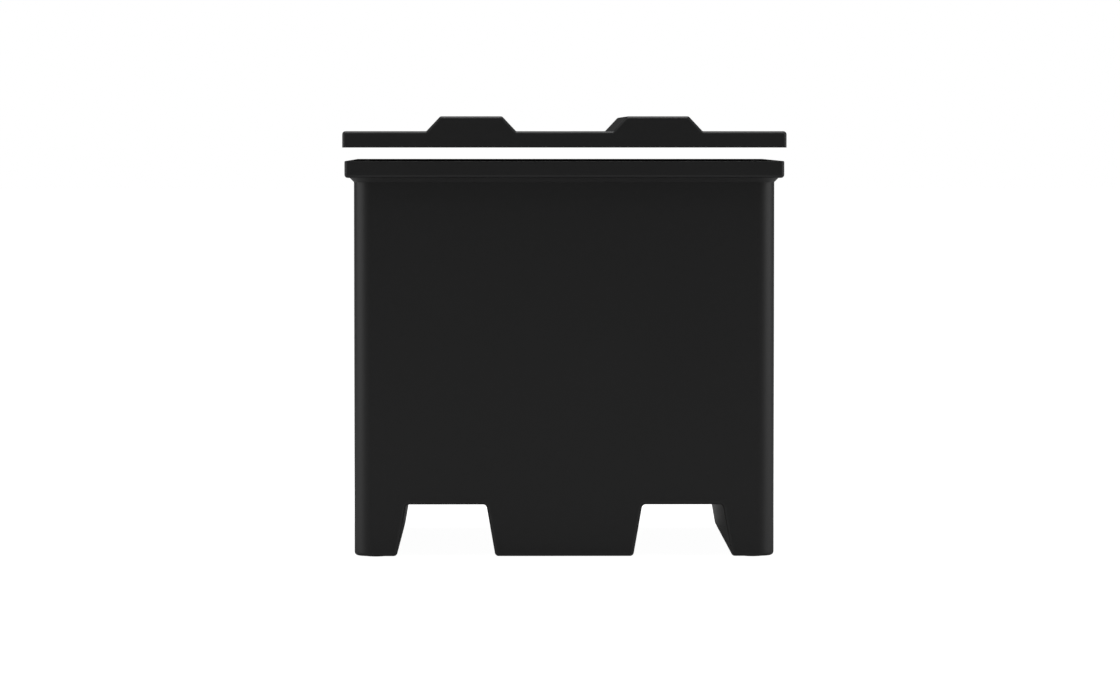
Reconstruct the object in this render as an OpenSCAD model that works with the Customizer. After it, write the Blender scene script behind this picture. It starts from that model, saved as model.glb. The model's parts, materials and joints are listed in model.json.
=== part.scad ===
// Benchtop resin wash station. A lidded black tub stands on three skids, with two
// hand-hold tunnels under its floor. The middle skid is the drive bay: a motor turns a
// ring of magnets under the floor, and the impeller in the tub follows it. A basket
// with two folding bails stands over the impeller, and a ball valve drains the tub.
// The front is -Y. The controls and the drain are on the back. The origin is on the
// ground under the middle of the tub.

/* [Tank] */
// Width across the rim
rim_w = 400; // [330:1:500]
// Depth across the rim
rim_d = 380; // [316:1:480]
// Height of the rim's top above the ground
rim_top = 361.8; // [320:0.1:460]
// Height of the rim band
rim_h = 15.4; // [10:0.1:24]
// How far the rim stands out past the walls
rim_overhang = 8; // [4:0.1:14]
// Radius of the rim's and the lid's upright corners
rim_corner_r = 3.3; // [2:0.1:6]
// Wall thickness of the tub
wall = 5; // [3.5:0.1:6]
// Thickness of the tub's floor
floor_t = 5; // [4:0.1:7]
// Radius of the tub's upright corners
corner_r = 16; // [8:0.5:24]

/* [Skids and feet] */
// Height of the skids, from the tub's underside to the tunnels' ceiling
skid_h = 47.2; // [46:0.1:60]
// Width of the middle skid at its bottom
middle_skid_w = 126; // [122:1:150]
// Width of each outer skid at its bottom
outer_skid_w = 39; // [34:1:50]
// How far a tunnel's side leans in over its height
flank_lean = 8.3; // [4:0.1:10]
// Thickness of the stiffening webs in the outer skids
web_t = 4; // [3:0.5:6]
// Radius of a foot pad
foot_r = 9; // [6:0.5:10]
// Thickness of a foot pad
foot_t = 3; // [2.5:0.5:5]
// How far a foot pad stands below the tub
foot_proud = 1; // [0.8:0.1:1.5]

/* [Lid] */
// Height of the lid's side
lid_h = 14.9; // [12:0.1:20]
// Thickness of the lid's top plate
lid_top_t = 4; // [3:0.1:5]
// Thickness of the lip that drops round the rim
lid_lip = 1.5; // [1.2:0.1:3]
// Space between the lip and the rim
lid_gap = 0.4; // [0.3:0.05:0.8]
// Space between the rim's top and the lid's lower edge, with the lid held up
lid_held_gap = 12.2; // [8:0.1:16]
// Height of the lid's two ribs
rib_h = 13.5; // [8:0.1:18]
// Width of a rib at its foot
rib_w = 81.5; // [60:0.5:90]
// How far a rib's side leans in over its height
rib_lean = 12.7; // [8:0.1:15]
// Distance between the ribs' middles
rib_pitch = 169.5; // [140:0.5:180]
// Thickness of a rib's shell
rib_shell = 3.5; // [2.5:0.1:4]
// Thickness of the lid's seal
seal_t = 2; // [1.5:0.1:3]
// Width of the lid's seal
seal_w = 11; // [8:0.5:12]

/* [Impeller] */
// Radius of the spindle
spindle_r = 2.5; // [2:0.1:3]
// Running clearance on every turning shaft
running_gap = 0.06; // [0.03:0.01:0.1]
// Radius of the impeller
impeller_r = 48; // [40:1:52]
// Thickness of the impeller's disc
disc_t = 7; // [6.5:0.5:9]
// Height of the impeller's blades
blade_h = 11; // [8:0.5:14]
// Thickness of a blade
blade_t = 2.5; // [2:0.1:4]
// Number of blades
blade_n = 6; // [4:1:8]
// Radius of the impeller's hub
hub_r = 9; // [8:0.5:12]
// Wall of the bush in the hub
bush_wall = 2.4; // [2:0.1:3]
// Radius of a coupling magnet
magnet_r = 5; // [4:0.5:6]
// Height of a coupling magnet
magnet_h = 5; // [4:0.5:5.5]
// Radius of the ring that the coupling magnets stand on
magnet_ring_r = 24; // [20:1:26]
// Number of coupling magnets in each ring
magnet_n = 4; // [2:2:6]

/* [Impeller guard] */
// Radius of the guard plate
guard_r = 72; // [70:1:76]
// Thickness of the guard plate
guard_t = 3; // [2.5:0.5:5]
// Radius of the circle that the guard's pillars stand on
pillar_ring_r = 64; // [62:1:66]
// Radius of a pillar
pillar_r = 5; // [4.5:0.5:6]
// Space between the impeller's parts and the guard plate
guard_space = 6; // [4:0.5:10]
// Radius of a hole in the guard plate
guard_hole_r = 4.5; // [3:0.5:5]

/* [Basket] */
// Space between the basket and the tub's walls
basket_space = 17; // [14:0.5:22]
// Height of the basket
basket_h = 100; // [80:1:120]
// Thickness of the basket's sides
basket_wall = 2.5; // [2:0.1:4]
// Thickness of the basket's bottom
basket_floor_t = 3; // [2.5:0.1:5]
// Space between the guard plate and the basket
basket_lift = 8; // [6:0.5:14]
// Width of the basket's flange
flange_w = 5; // [3:0.5:8]
// Thickness of the basket's flange
flange_t = 3; // [2:0.5:5]
// Radius of the basket's corners
basket_corner_r = 14; // [8:1:20]
// Width of a slot in the basket
slot_w = 12; // [8:0.5:16]
// Width of the land between two slots
slot_land = 7; // [5:0.5:10]

/* [Bails] */
// Length of a bail along the basket's side
bail_w = 120; // [100:1:140]
// Distance from a bail's pivot to its grip
bail_reach = 45; // [36:1:50]
// Radius of the bail's wire
wire_r = 2.5; // [2:0.1:3]
// Radius of the wire's bends
bend_r = 9; // [7:0.5:12]
// Radius of the grip
grip_r = 5; // [4:0.1:5.5]
// Length of the grip
grip_w = 84; // [60:1:90]
// Height of the pivots above the basket's flange
pivot_rise = 6; // [5.5:0.5:8]
// Thickness of a pivot lug
lug_t = 5; // [4:0.5:7]

/* [Drive] */
// Radius of the motor's can
motor_r = 22; // [18:1:24]
// Height of the motor's can
motor_h = 22; // [18:1:24]
// Radius of the motor's shaft
shaft_r = 2.5; // [2:0.1:3]
// Radius of the ring that carries the drive magnets
carrier_r = 31; // [30:0.5:33]
// Thickness of that ring
carrier_t = 6; // [5:0.5:7]
// Space between the drive magnets and the tub's floor
floor_space = 2; // [1.5:0.1:3]
// Thickness of the motor's bracket
bracket_t = 3; // [2:0.5:4]
// Thickness of the cover under the drive bay
cover_t = 2.5; // [2:0.1:3]

/* [Controls] */
// Width of the control panel
panel_w = 112; // [108:1:114]
// Height of the control panel
panel_h = 35; // [33:0.5:36]
// Thickness of the control panel
panel_t = 3; // [2:0.5:4]
// Thickness of the bay's back wall, behind the panel
back_wall = 9; // [7:0.5:10]
// Distance of the knob and the button from the panel's middle
control_x = 30; // [26:1:32]
// Radius of the timer knob
knob_r = 11; // [9:0.5:12]
// Height of the timer knob
knob_h = 10; // [8:0.5:12]
// Radius of the power button
button_r = 8; // [6:0.5:9]
// How far the power button stands out
button_proud = 3; // [2.6:0.1:4]
// How far the power button moves
button_travel = 2; // [1.5:0.1:2.5]
// Radius of the socket in the power inlet
socket_r = 2.85; // [2.6:0.05:3.1]

/* [Drain] */
// Place of the drain across the back
drain_x = -110; // [-130:1:-90]
// Height of the drain above the tub's floor
drain_rise = 19; // [18:0.5:26]
// Radius of the waterway
water_r = 5.5; // [5:0.1:6]
// Radius of the valve's threaded tail
tail_r = 10; // [9:0.5:11]
// Radius of the valve's ball
ball_r = 9.5; // [9:0.1:10]
// Space round the ball
ball_gap = 0.3; // [0.2:0.05:0.4]
// Radius of the hose spigot
spigot_r = 8; // [7:0.5:9]
// Length of the hose spigot
spigot_l = 26; // [20:1:32]
// Length of the valve's lever
lever_l = 58; // [45:1:70]

/* [Fasteners] */
// Radius of a small screw's shank
screw_r = 1.5; // [1.3:0.1:1.7]
// Radius of a small screw's head
head_r = 2.8; // [2.5:0.1:3]
// Height of a small screw's head
head_h = 1.4; // [1:0.1:1.4]
// Clearance between two pieces that are fixed together
fixed_gap = 0.05; // [0.03:0.01:0.1]
// Clearance between loose pieces
loose_gap = 0.3; // [0.3:0.05:0.5]

/* [Hidden] */
$fn = 64;

// Colours
TUB = "#262626";
DARK = "#1b1b1b";
RUBBER = "#111111";
STEEL = "#b8bcc0";
BRASS = "#b89a55";
SEAL = "#3a3a3a";
NATURAL = "#e6e2d6";
MAGNET = "#8d9196";
BOARD = "#1f5a34";
LENS = "#58d68d";

// A cut starts this far outside the face it opens
cut = 1;

// Tub
base_z = foot_proud;
ceiling_z = base_z + skid_h;
floor_top = ceiling_z + floor_t;
body_w = rim_w - 2 * rim_overhang;
body_d = rim_d - 2 * rim_overhang;
inside_w = body_w - 2 * wall;
inside_d = body_d - 2 * wall;
inside_r = corner_r - wall;
back_y = body_d / 2;
foot_x = body_w / 2 - outer_skid_w / 2;
foot_y = body_d / 2 - corner_r - 4;
foot_boss_r = foot_r + 3;
web_y = body_d / 6;

// Half width of the middle skid, and the inner edge of an outer skid, at a height
function lean_at(z) = flank_lean * (z - base_z) / skid_h;
function middle_half(z) = middle_skid_w / 2 + lean_at(z);
function outer_edge(z) = body_w / 2 - outer_skid_w - lean_at(z);

// Impeller
boss_top = floor_top + 4;
washer_t = 0.6;
impeller_z = boss_top + washer_t + 0.2;
blade_top = impeller_z + disc_t + blade_h;
clip_t = 1.2;
spindle_top = blade_top + 0.5 + clip_t + 1;
spindle_hole_z = ceiling_z + 2;

// Guard and basket
guard_z = spindle_top + guard_space;
pillar_count = 4;
basket_z = guard_z + guard_t + basket_lift;
basket_top = basket_z + basket_h;
basket_w = inside_w - 2 * basket_space;
basket_d = inside_d - 2 * basket_space;
post_w = basket_space + 11;
post_l = 24;
post_y = inside_d / 2 - 45;
slot_pitch = slot_w + slot_land;
slots_x = floor((basket_w - 2 * basket_corner_r - slot_w) / slot_pitch);
slots_y = floor((basket_d - 2 * basket_corner_r - slot_w) / slot_pitch);
slot_z = basket_z + basket_floor_t + 8;
slot_top = basket_top - flange_t - 10;
floor_rows = 3;
floor_row_land = 12;

// Bails
pivot_x = basket_w / 2 - 8;
pivot_z = basket_top + pivot_rise;
arm_y = bail_w / 2;
lug_y = arm_y + wire_r + 1;
pin_end = lug_y + lug_t + 2;
lug_r = wire_r + 3;

// Drive, from the floor down
magnet_top = ceiling_z - floor_space;
carrier_top = magnet_top - 1;
carrier_z = carrier_top - carrier_t;
bracket_top = carrier_z - 3.2;
bracket_z = bracket_top - bracket_t;
motor_z = bracket_z - motor_h;
bearing_r = 6.5;
bearing_t = 4;
bracket_x = 38;
bracket_y = 27;
bracket_boss_r = 4;
motor_screw_ring = 14;
cover_z = base_z + 0.5;
cover_top = cover_z + cover_t;
cover_boss_x = middle_skid_w / 2 - wall - 7;
cover_boss_r = 4;
bay_front = -body_d / 2 + wall;
bay_back = body_d / 2 - back_wall;
cover_rows = [bay_front + 12, 0, bay_back - 24];
vent_n = 9;

// Control panel and what stands behind it
panel_z = base_z + skid_h / 2;
panel_face = back_y;
panel_back = back_y - panel_t;
panel_hole_x = panel_w / 2 - 5;
panel_hole_z = panel_h / 2 - 5;
window_w = panel_w - 20;
window_h = panel_h - 8;
control_w = 12;
control_t = 6.5;
timer_bush_r = 4.5;
timer_shaft_r = 3;
switch_w = 21;
switch_t = 11;
button_flange_t = 2;
button_flange_r = button_r + 1.2;
inlet_r = 5;
inlet_flange_r = 7;
inlet_depth = 9.5;
light_x = 13;
light_r = 1.6;

// Control board
board_w = 76;
board_d = 56;
board_t = 1.6;
board_z = cover_top + 14;
board_y = bay_back - switch_t - 6 - board_d / 2;
board_hole_x = board_w / 2 - 5;
board_hole_y = board_d / 2 - 5;
board_boss_r = 3.5;

// Drain, along +Y from the tub's wall
drain_z = floor_top + drain_rise;
drain_seal_t = 2;
flange_r = tail_r + 6;
drain_flange_t = 4;
chamber_r = ball_r + 4.5;
chamber_y = back_y + drain_seal_t + drain_flange_t;
ball_y = chamber_y + ball_r + 5;
chamber_end = ball_y + ball_r + 9;
seat_space = 0.154;
seat_in = sqrt(ball_r * ball_r - water_r * water_r) + seat_space;
seat_out = ball_r + 1;
seat_r = ball_r - 0.5;
nut_t = 7;
nut_r = tail_r + 6.6;
tail_in = inside_d / 2 - drain_seal_t - nut_t - 10;
strainer_r = tail_r + 3;
strainer_in = tail_in - 8;
stem_r = 3;
stem_boss_r = 7;
stem_boss_top = drain_z + chamber_r + 7;
packing_t = 3;
lever_z = stem_boss_top + 0.5;
lever_t = 4;
lever_w = 12;
lever_hub_r = 8;
stem_nut_t = 4;
sleeve_l = lever_l * 0.55;

// Lid
lid_z = rim_top + lid_held_gap;
lid_w = rim_w + 2 * (lid_gap + lid_lip);
lid_d = rim_d + 2 * (lid_gap + lid_lip);
lid_top = lid_z + lid_h;
lid_ceiling = lid_top - lid_top_t;
seal_out_w = rim_w - 2;
seal_out_d = rim_d - 2;
rib_slope = rib_lean / rib_h;
rib_side_shift = rib_shell * sqrt(1 + rib_slope * rib_slope);

// ---------- Shared shapes ----------

// A flat plate with round upright corners, standing on z = 0
module rounded_plate(w, d, r, h) {
  linear_extrude(h) {
    square([w - 2 * r, d], center = true);
    square([w, d - 2 * r], center = true);
    for (sx = [-1, 1], sy = [-1, 1])
      translate([sx * (w / 2 - r), sy * (d / 2 - r)]) circle(r);
  }
}

// An outline in X and Z, drawn out along +Y from y to y + h
module along_y(y, h) {
  translate([0, y + h, 0]) rotate([90, 0, 0]) linear_extrude(h) children();
}

// A round bar along +Y
module rod_y(x, y, z, r, h) {
  translate([x, y, z]) rotate([-90, 0, 0]) cylinder(r = r, h = h);
}

// A round bar along +Z
module rod_z(x, y, z, r, h) {
  translate([x, y, z]) cylinder(r = r, h = h);
}

// A ring along +Z
module ring_z(z, r_out, r_in, h) {
  difference() {
    rod_z(0, 0, z, r_out, h);
    rod_z(0, 0, z - cut, r_in, h + 2 * cut);
  }
}

// A ring along +Y
module ring_y(x, y, z, r_out, r_in, h) {
  difference() {
    rod_y(x, y, z, r_out, h);
    rod_y(x, y - cut, z, r_in, h + 2 * cut);
  }
}

// A screw whose head stands on z = 0, with its shank down -Z and a hex socket
module screw(l) {
  difference() {
    union() {
      cylinder(r = head_r, h = head_h);
      translate([0, 0, -l]) cylinder(r = screw_r, h = l + head_h / 2);
    }
    translate([0, 0, head_h * 0.4]) cylinder(r = screw_r * 0.75, h = head_h, $fn = 6);
  }
}

// Repeats its children at four places, mirrored about both axes
module at_corners(x, y) {
  for (sx = [-1, 1], sy = [-1, 1])
    translate([sx * x, sy * y, 0]) children();
}

// Repeats its children round the upright axis
module around(n, r, start = 0) {
  for (i = [0 : n - 1])
    rotate(start + i * 360 / n) translate([r, 0, 0]) children();
}

// ---------- Tank ----------

module tunnel_space() {
  z0 = base_z - cut;
  along_y(-rim_d, 2 * rim_d)
    polygon([[middle_half(z0), z0], [outer_edge(z0), z0],
      [outer_edge(ceiling_z), ceiling_z], [middle_half(ceiling_z), ceiling_z]]);
}

module bay_space() {
  z0 = base_z - cut;
  along_y(bay_front, bay_back - bay_front)
    polygon([[-middle_half(z0) + wall, z0], [middle_half(z0) - wall, z0],
      [middle_half(ceiling_z) - wall, ceiling_z], [-middle_half(ceiling_z) + wall, ceiling_z]]);
}

// The hollow of an outer skid, parted by two webs
module skid_pockets() {
  z0 = base_z - cut;
  end_y = body_d / 2 - wall - corner_r / 2;
  starts = [-end_y, -web_y + web_t / 2, web_y + web_t / 2];
  ends = [-web_y - web_t / 2, web_y - web_t / 2, end_y];
  for (i = [0 : 2])
    along_y(starts[i], ends[i] - starts[i])
      polygon([[outer_edge(z0) + wall, z0], [body_w / 2 - wall, z0],
        [body_w / 2 - wall, ceiling_z], [outer_edge(ceiling_z) + wall, ceiling_z]]);
}

module tank_shell() {
  difference() {
    union() {
      translate([0, 0, base_z]) rounded_plate(body_w, body_d, corner_r, rim_top - base_z);
      translate([0, 0, rim_top - rim_h]) rounded_plate(rim_w, rim_d, rim_corner_r, rim_h);
    }
    translate([0, 0, floor_top]) rounded_plate(inside_w, inside_d, inside_r, rim_top);
    for (side = [0, 1])
      mirror([side, 0, 0]) {
        tunnel_space();
        skid_pockets();
      }
    bay_space();
  }
}

// The pads that the basket stands on, grown out of the side walls
module basket_posts() {
  for (sx = [-1, 1], sy = [-1, 1])
    translate([sx * (inside_w / 2 - post_w / 2 + cut / 2), sy * post_y, floor_top - cut])
      translate([-(post_w + cut) / 2, -post_l / 2, 0])
        cube([post_w + cut, post_l, basket_z - floor_top + cut]);
}

module bay_bosses() {
  at_corners(bracket_x, bracket_y)
    rod_z(0, 0, bracket_top, bracket_boss_r, ceiling_z - bracket_top + cut);
  translate([0, board_y, 0])
    at_corners(board_hole_x, board_hole_y)
      rod_z(0, 0, board_z + board_t, board_boss_r, ceiling_z - board_z - board_t + cut);
  for (sx = [-1, 1], y = cover_rows)
    rod_z(sx * cover_boss_x, y, cover_top, cover_boss_r, ceiling_z - cover_top + cut);
}

module bay_boss_holes() {
  hole_r = screw_r + fixed_gap;
  at_corners(bracket_x, bracket_y)
    rod_z(0, 0, bracket_top - cut, hole_r, 9 + cut);
  translate([0, board_y, 0])
    at_corners(board_hole_x, board_hole_y)
      rod_z(0, 0, board_z + board_t - cut, hole_r, 9 + cut);
  for (sx = [-1, 1], y = cover_rows)
    rod_z(sx * cover_boss_x, y, cover_top - cut, hole_r, 9 + cut);
}

module panel_seat() {
  w = panel_w + 2 * loose_gap;
  h = panel_h + 2 * loose_gap;
  translate([-w / 2, panel_back, panel_z - h / 2]) cube([w, panel_t + cut, h]);
  translate([-window_w / 2, bay_back - cut, panel_z - window_h / 2])
    cube([window_w, back_wall + cut, window_h]);
  for (sx = [-1, 1], sz = [-1, 1])
    rod_y(sx * panel_hole_x, bay_back - cut, panel_z + sz * panel_hole_z,
      screw_r + fixed_gap, back_wall);
}

// The tub with its skids
module moulding() {
  difference() {
    union() {
      tank_shell();
      basket_posts();
      around(pillar_count, pillar_ring_r, 45)
        rod_z(0, 0, floor_top - cut, pillar_r, guard_z - floor_top + cut);
      rod_z(0, 0, floor_top - cut, hub_r - 2, boss_top - floor_top + cut);
      bay_bosses();
      at_corners(foot_x, foot_y)
        rod_z(0, 0, base_z, foot_boss_r, skid_h + cut);
    }
    around(pillar_count, pillar_ring_r, 45)
      rod_z(0, 0, guard_z - 12, screw_r + fixed_gap, 12 + cut);
    rod_z(0, 0, spindle_hole_z, spindle_r + fixed_gap, boss_top - spindle_hole_z + cut);
    at_corners(foot_x, foot_y)
      rod_z(0, 0, base_z - cut, foot_r + fixed_gap, foot_t - foot_proud + cut);
    bay_boss_holes();
    panel_seat();
    rod_y(drain_x, inside_d / 2 - cut, drain_z, tail_r + loose_gap, wall + 2 * cut);
  }
}

// Everything under the tub's floor
module under_floor() {
  translate([-rim_w, -rim_d, 0]) cube([2 * rim_w, 2 * rim_d, ceiling_z]);
}

module tank() {
  color(TUB)
    difference() {
      moulding();
      under_floor();
    }
}

// The skids, welded under the tub's floor
module skid_base() {
  color(TUB)
    intersection() {
      moulding();
      under_floor();
    }
}

module foot_pads() {
  color(RUBBER)
    at_corners(foot_x, foot_y)
      cylinder(r = foot_r, h = foot_t);
}

// ---------- Impeller and its guard ----------

module spindle() {
  color(STEEL)
    rod_z(0, 0, spindle_hole_z, spindle_r, spindle_top - spindle_hole_z);
}

module thrust_washer() {
  color(NATURAL)
    ring_z(boss_top, hub_r - 3, spindle_r + running_gap, washer_t);
}

module spindle_clip() {
  color(STEEL)
    ring_z(blade_top + 0.5, spindle_r + 3.5, spindle_r + fixed_gap, clip_t);
}

module impeller() {
  bush_r = spindle_r + running_gap + bush_wall;
  color(TUB)
    difference() {
      union() {
        rod_z(0, 0, impeller_z, impeller_r, disc_t);
        rod_z(0, 0, impeller_z, hub_r, disc_t + blade_h);
        for (i = [0 : blade_n - 1])
          rotate(i * 360 / blade_n)
            translate([hub_r - 2, -blade_t / 2, impeller_z + disc_t - cut])
              cube([impeller_r - hub_r, blade_t, blade_h + cut]);
      }
      rod_z(0, 0, impeller_z - cut, bush_r + fixed_gap, disc_t + blade_h + 2 * cut);
      around(magnet_n, magnet_ring_r, 180 / magnet_n)
        rod_z(0, 0, impeller_z - cut, magnet_r + fixed_gap, magnet_h + cut);
    }
}

module impeller_magnets() {
  color(MAGNET)
    around(magnet_n, magnet_ring_r, 180 / magnet_n)
      rod_z(0, 0, impeller_z, magnet_r, magnet_h);
}

module impeller_bush() {
  color(NATURAL)
    ring_z(impeller_z, spindle_r + running_gap + bush_wall, spindle_r + running_gap,
      disc_t + blade_h);
}

module impeller_guard() {
  color(TUB)
    difference() {
      rod_z(0, 0, guard_z, guard_r, guard_t);
      for (ring = [1 : 3])
        around(6 * ring, ring * guard_r / 4.1, 15)
          rod_z(0, 0, guard_z - cut, guard_hole_r, guard_t + 2 * cut);
      rod_z(0, 0, guard_z - cut, guard_hole_r, guard_t + 2 * cut);
      around(pillar_count, pillar_ring_r, 45)
        rod_z(0, 0, guard_z - cut, screw_r + fixed_gap, guard_t + 2 * cut);
    }
}

module guard_screws() {
  color(STEEL)
    around(pillar_count, pillar_ring_r, 45)
      translate([0, 0, guard_z + guard_t]) screw(guard_t + 10);
}

// ---------- Drive ----------

module motor() {
  color(DARK)
    difference() {
      union() {
        rod_z(0, 0, motor_z, motor_r, motor_h);
        rod_z(0, 0, bracket_z - cut, bearing_r + 1.5, 2.6 + cut);
        translate([-6, motor_r - 4, bracket_z - 9]) cube([12, 8, 7]);
      }
      rod_z(0, 0, bracket_z + 2.6 - bearing_t, bearing_r + fixed_gap, bearing_t + cut);
      rod_z(0, 0, motor_z + 2, bearing_r + fixed_gap, bearing_t);
      rod_z(0, 0, motor_z + 2, shaft_r + 1, motor_h + cut);
      for (i = [0 : 3])
        rotate(45 + i * 90) translate([motor_screw_ring, 0, 0])
          rod_z(0, 0, bracket_z - 5, screw_r + fixed_gap, 5 + cut);
    }
}

module motor_bearings() {
  color(STEEL) {
    ring_z(bracket_z + 2.6 - bearing_t, bearing_r, shaft_r + running_gap, bearing_t);
    ring_z(motor_z + 2, bearing_r, shaft_r + running_gap, bearing_t);
  }
}

module motor_shaft() {
  color(STEEL)
    rod_z(0, 0, motor_z + 3, shaft_r, carrier_top - motor_z - 3);
}

module motor_bracket() {
  w = 2 * (bracket_x + bracket_boss_r);
  d = 2 * (bracket_y + bracket_boss_r);
  color(STEEL)
    difference() {
      translate([0, 0, bracket_z]) rounded_plate(w, d, bracket_boss_r, bracket_t);
      rod_z(0, 0, bracket_z - cut, bearing_r + 1.5 + loose_gap, bracket_t + 2 * cut);
      around(4, motor_screw_ring, 45)
        rod_z(0, 0, bracket_z - cut, screw_r + fixed_gap, bracket_t + 2 * cut);
      at_corners(bracket_x, bracket_y)
        rod_z(0, 0, bracket_z - cut, screw_r + fixed_gap, bracket_t + 2 * cut);
    }
}

module motor_screws() {
  color(STEEL)
    around(4, motor_screw_ring, 45)
      translate([0, 0, bracket_top]) screw(bracket_t + 4);
}

module bracket_screws() {
  color(STEEL)
    at_corners(bracket_x, bracket_y)
      translate([0, 0, bracket_z]) mirror([0, 0, 1]) screw(bracket_t + 7);
}

module magnet_carrier() {
  color(DARK)
    difference() {
      rod_z(0, 0, carrier_z, carrier_r, carrier_t);
      rod_z(0, 0, carrier_z - cut, shaft_r + fixed_gap, carrier_t + 2 * cut);
      around(magnet_n, magnet_ring_r, 180 / magnet_n)
        rod_z(0, 0, magnet_top - magnet_h, magnet_r + fixed_gap, magnet_h + cut);
    }
}

module drive_magnets() {
  color(MAGNET)
    around(magnet_n, magnet_ring_r, 180 / magnet_n)
      rod_z(0, 0, magnet_top - magnet_h, magnet_r, magnet_h);
}

module motor_ribbon() {
  y0 = motor_r + 4;
  y1 = board_y - board_d / 2;
  z0 = bracket_z - 6;
  z1 = board_z + board_t + 4;
  t = 1.2;
  color("#777777")
    translate([-4, 0, 0]) rotate([90, 0, 90]) linear_extrude(8)
      polygon([[y0, z0], [y1, z1], [y1, z1 + t], [y0, z0 + t]]);
}

module control_board() {
  top = board_z + board_t;
  front = board_y - board_d / 2;
  color(BOARD)
    difference() {
      union() {
        translate([0, board_y, board_z]) rounded_plate(board_w, board_d, 3, board_t);
        translate([-6, front, top]) cube([12, 8, 8]);
        translate([14, board_y - 8, top]) cube([14, 14, 3]);
        translate([-10, board_y, top]) cube([10, 10, 2]);
        rod_z(-22, board_y - 6, top, 6, 14);
        rod_z(20, board_y + 14, top, 4, 10);
      }
      translate([0, board_y, 0])
        at_corners(board_hole_x, board_hole_y)
          rod_z(0, 0, board_z - cut, screw_r + fixed_gap, board_t + 2 * cut);
    }
}

module board_screws() {
  color(STEEL)
    translate([0, board_y, board_z])
      at_corners(board_hole_x, board_hole_y)
        mirror([0, 0, 1]) screw(board_t + 6);
}

module base_cover() {
  half = middle_half(base_z) - wall - loose_gap;
  y0 = bay_front + loose_gap;
  y1 = bay_back - loose_gap;
  vent_pitch = 9;
  color(DARK)
    difference() {
      translate([-half, y0, cover_z]) cube([2 * half, y1 - y0, cover_t]);
      for (sx = [-1, 1], y = cover_rows)
        rod_z(sx * cover_boss_x, y, cover_z - cut, screw_r + fixed_gap, cover_t + 2 * cut);
      for (i = [0 : vent_n - 1])
        translate([-20, (i - (vent_n - 1) / 2) * vent_pitch - 2, cover_z - cut])
          cube([40, 4, cover_t + 2 * cut]);
    }
}

module cover_screws() {
  color(STEEL)
    for (sx = [-1, 1], y = cover_rows)
      translate([sx * cover_boss_x, y, cover_z]) mirror([0, 0, 1]) screw(cover_t + 7);
}

// ---------- Controls ----------

module control_panel() {
  color(DARK)
    difference() {
      translate([-panel_w / 2, panel_back, panel_z - panel_h / 2])
        cube([panel_w, panel_t, panel_h]);
      rod_y(control_x, panel_back - cut, panel_z, timer_bush_r + fixed_gap, panel_t + 2 * cut);
      rod_y(-control_x, panel_back - cut, panel_z, button_r + loose_gap, panel_t + 2 * cut);
      rod_y(0, panel_back - cut, panel_z, inlet_r + fixed_gap, panel_t + 2 * cut);
      rod_y(-light_x, panel_back - cut, panel_z, light_r + fixed_gap, panel_t + 2 * cut);
      for (sx = [-1, 1], sz = [-1, 1])
        rod_y(sx * panel_hole_x, panel_back - cut, panel_z + sz * panel_hole_z,
          screw_r + fixed_gap, panel_t + 2 * cut);
    }
}

module panel_screws() {
  color(STEEL)
    for (sx = [-1, 1], sz = [-1, 1])
      translate([sx * panel_hole_x, panel_face, panel_z + sz * panel_hole_z])
        rotate([-90, 0, 0]) screw(panel_t + 4);
}

module timer_control() {
  bush_l = panel_t + 5;
  color(MAGNET)
    difference() {
      union() {
        translate([control_x - control_w / 2, panel_back - control_t, panel_z - control_w / 2])
          cube([control_w, control_t, control_w]);
        rod_y(control_x, panel_back - cut, panel_z, timer_bush_r, bush_l + cut);
      }
      rod_y(control_x, panel_back - control_t + 1.5, panel_z, timer_shaft_r + running_gap,
        control_t + bush_l);
    }
}

module timer_nut() {
  color(STEEL)
    difference() {
      translate([control_x, panel_face, panel_z]) rotate([-90, 0, 0])
        cylinder(r = timer_bush_r + 2.4, h = 2, $fn = 6);
      rod_y(control_x, panel_face - cut, panel_z, timer_bush_r + fixed_gap, 2 + 2 * cut);
    }
}

module timer_shaft() {
  y0 = panel_back - control_t + 2;
  color(STEEL)
    rod_y(control_x, y0, panel_z, timer_shaft_r, panel_face + knob_h - 2 - y0);
}

// The knob is a cup over the timer nut, with a shallow pointer groove
module timer_knob() {
  y0 = panel_face + 0.8;
  color(TUB)
    difference() {
      rod_y(control_x, y0, panel_z, knob_r, knob_h);
      rod_y(control_x, y0 - cut, panel_z, timer_bush_r + 3.4, 5.4 + cut);
      rod_y(control_x, y0 - cut, panel_z, timer_shaft_r + fixed_gap, knob_h - 2.4 + cut);
      translate([control_x - 0.6, y0 + knob_h - 0.8, panel_z + knob_r * 0.4])
        cube([1.2, 2, knob_r]);
    }
}

module button_switch() {
  color(DARK)
    difference() {
      translate([-control_x - switch_w / 2, panel_back - switch_t, panel_z - switch_w / 2])
        cube([switch_w, switch_t, switch_w]);
      rod_y(-control_x, panel_back - switch_t + 2, panel_z, button_flange_r + loose_gap,
        switch_t);
    }
}

module power_button() {
  flange_y = panel_back - 0.4 - button_flange_t;
  color(MAGNET)
    union() {
      rod_y(-control_x, flange_y - 2.5, panel_z, button_r,
        panel_face + button_proud - flange_y + 2.5);
      rod_y(-control_x, flange_y, panel_z, button_flange_r, button_flange_t);
    }
}

module dc_inlet() {
  color(DARK)
    difference() {
      union() {
        rod_y(0, panel_back - 8, panel_z, inlet_r, panel_t + 8 + cut);
        rod_y(0, panel_face, panel_z, inlet_flange_r, 1.5);
      }
      rod_y(0, panel_face + 1.5 - inlet_depth, panel_z, socket_r, inlet_depth + cut);
      rod_y(0, panel_back - 8 - cut, panel_z, 1 + fixed_gap, 8);
    }
}

module inlet_pin() {
  color(STEEL)
    rod_y(0, panel_back - 9, panel_z, 1, panel_t + 8);
}

module status_light() {
  color(LENS)
    rod_y(-light_x, panel_back - 2, panel_z, light_r, panel_t + 2.5);
}

// ---------- Drain ----------

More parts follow.
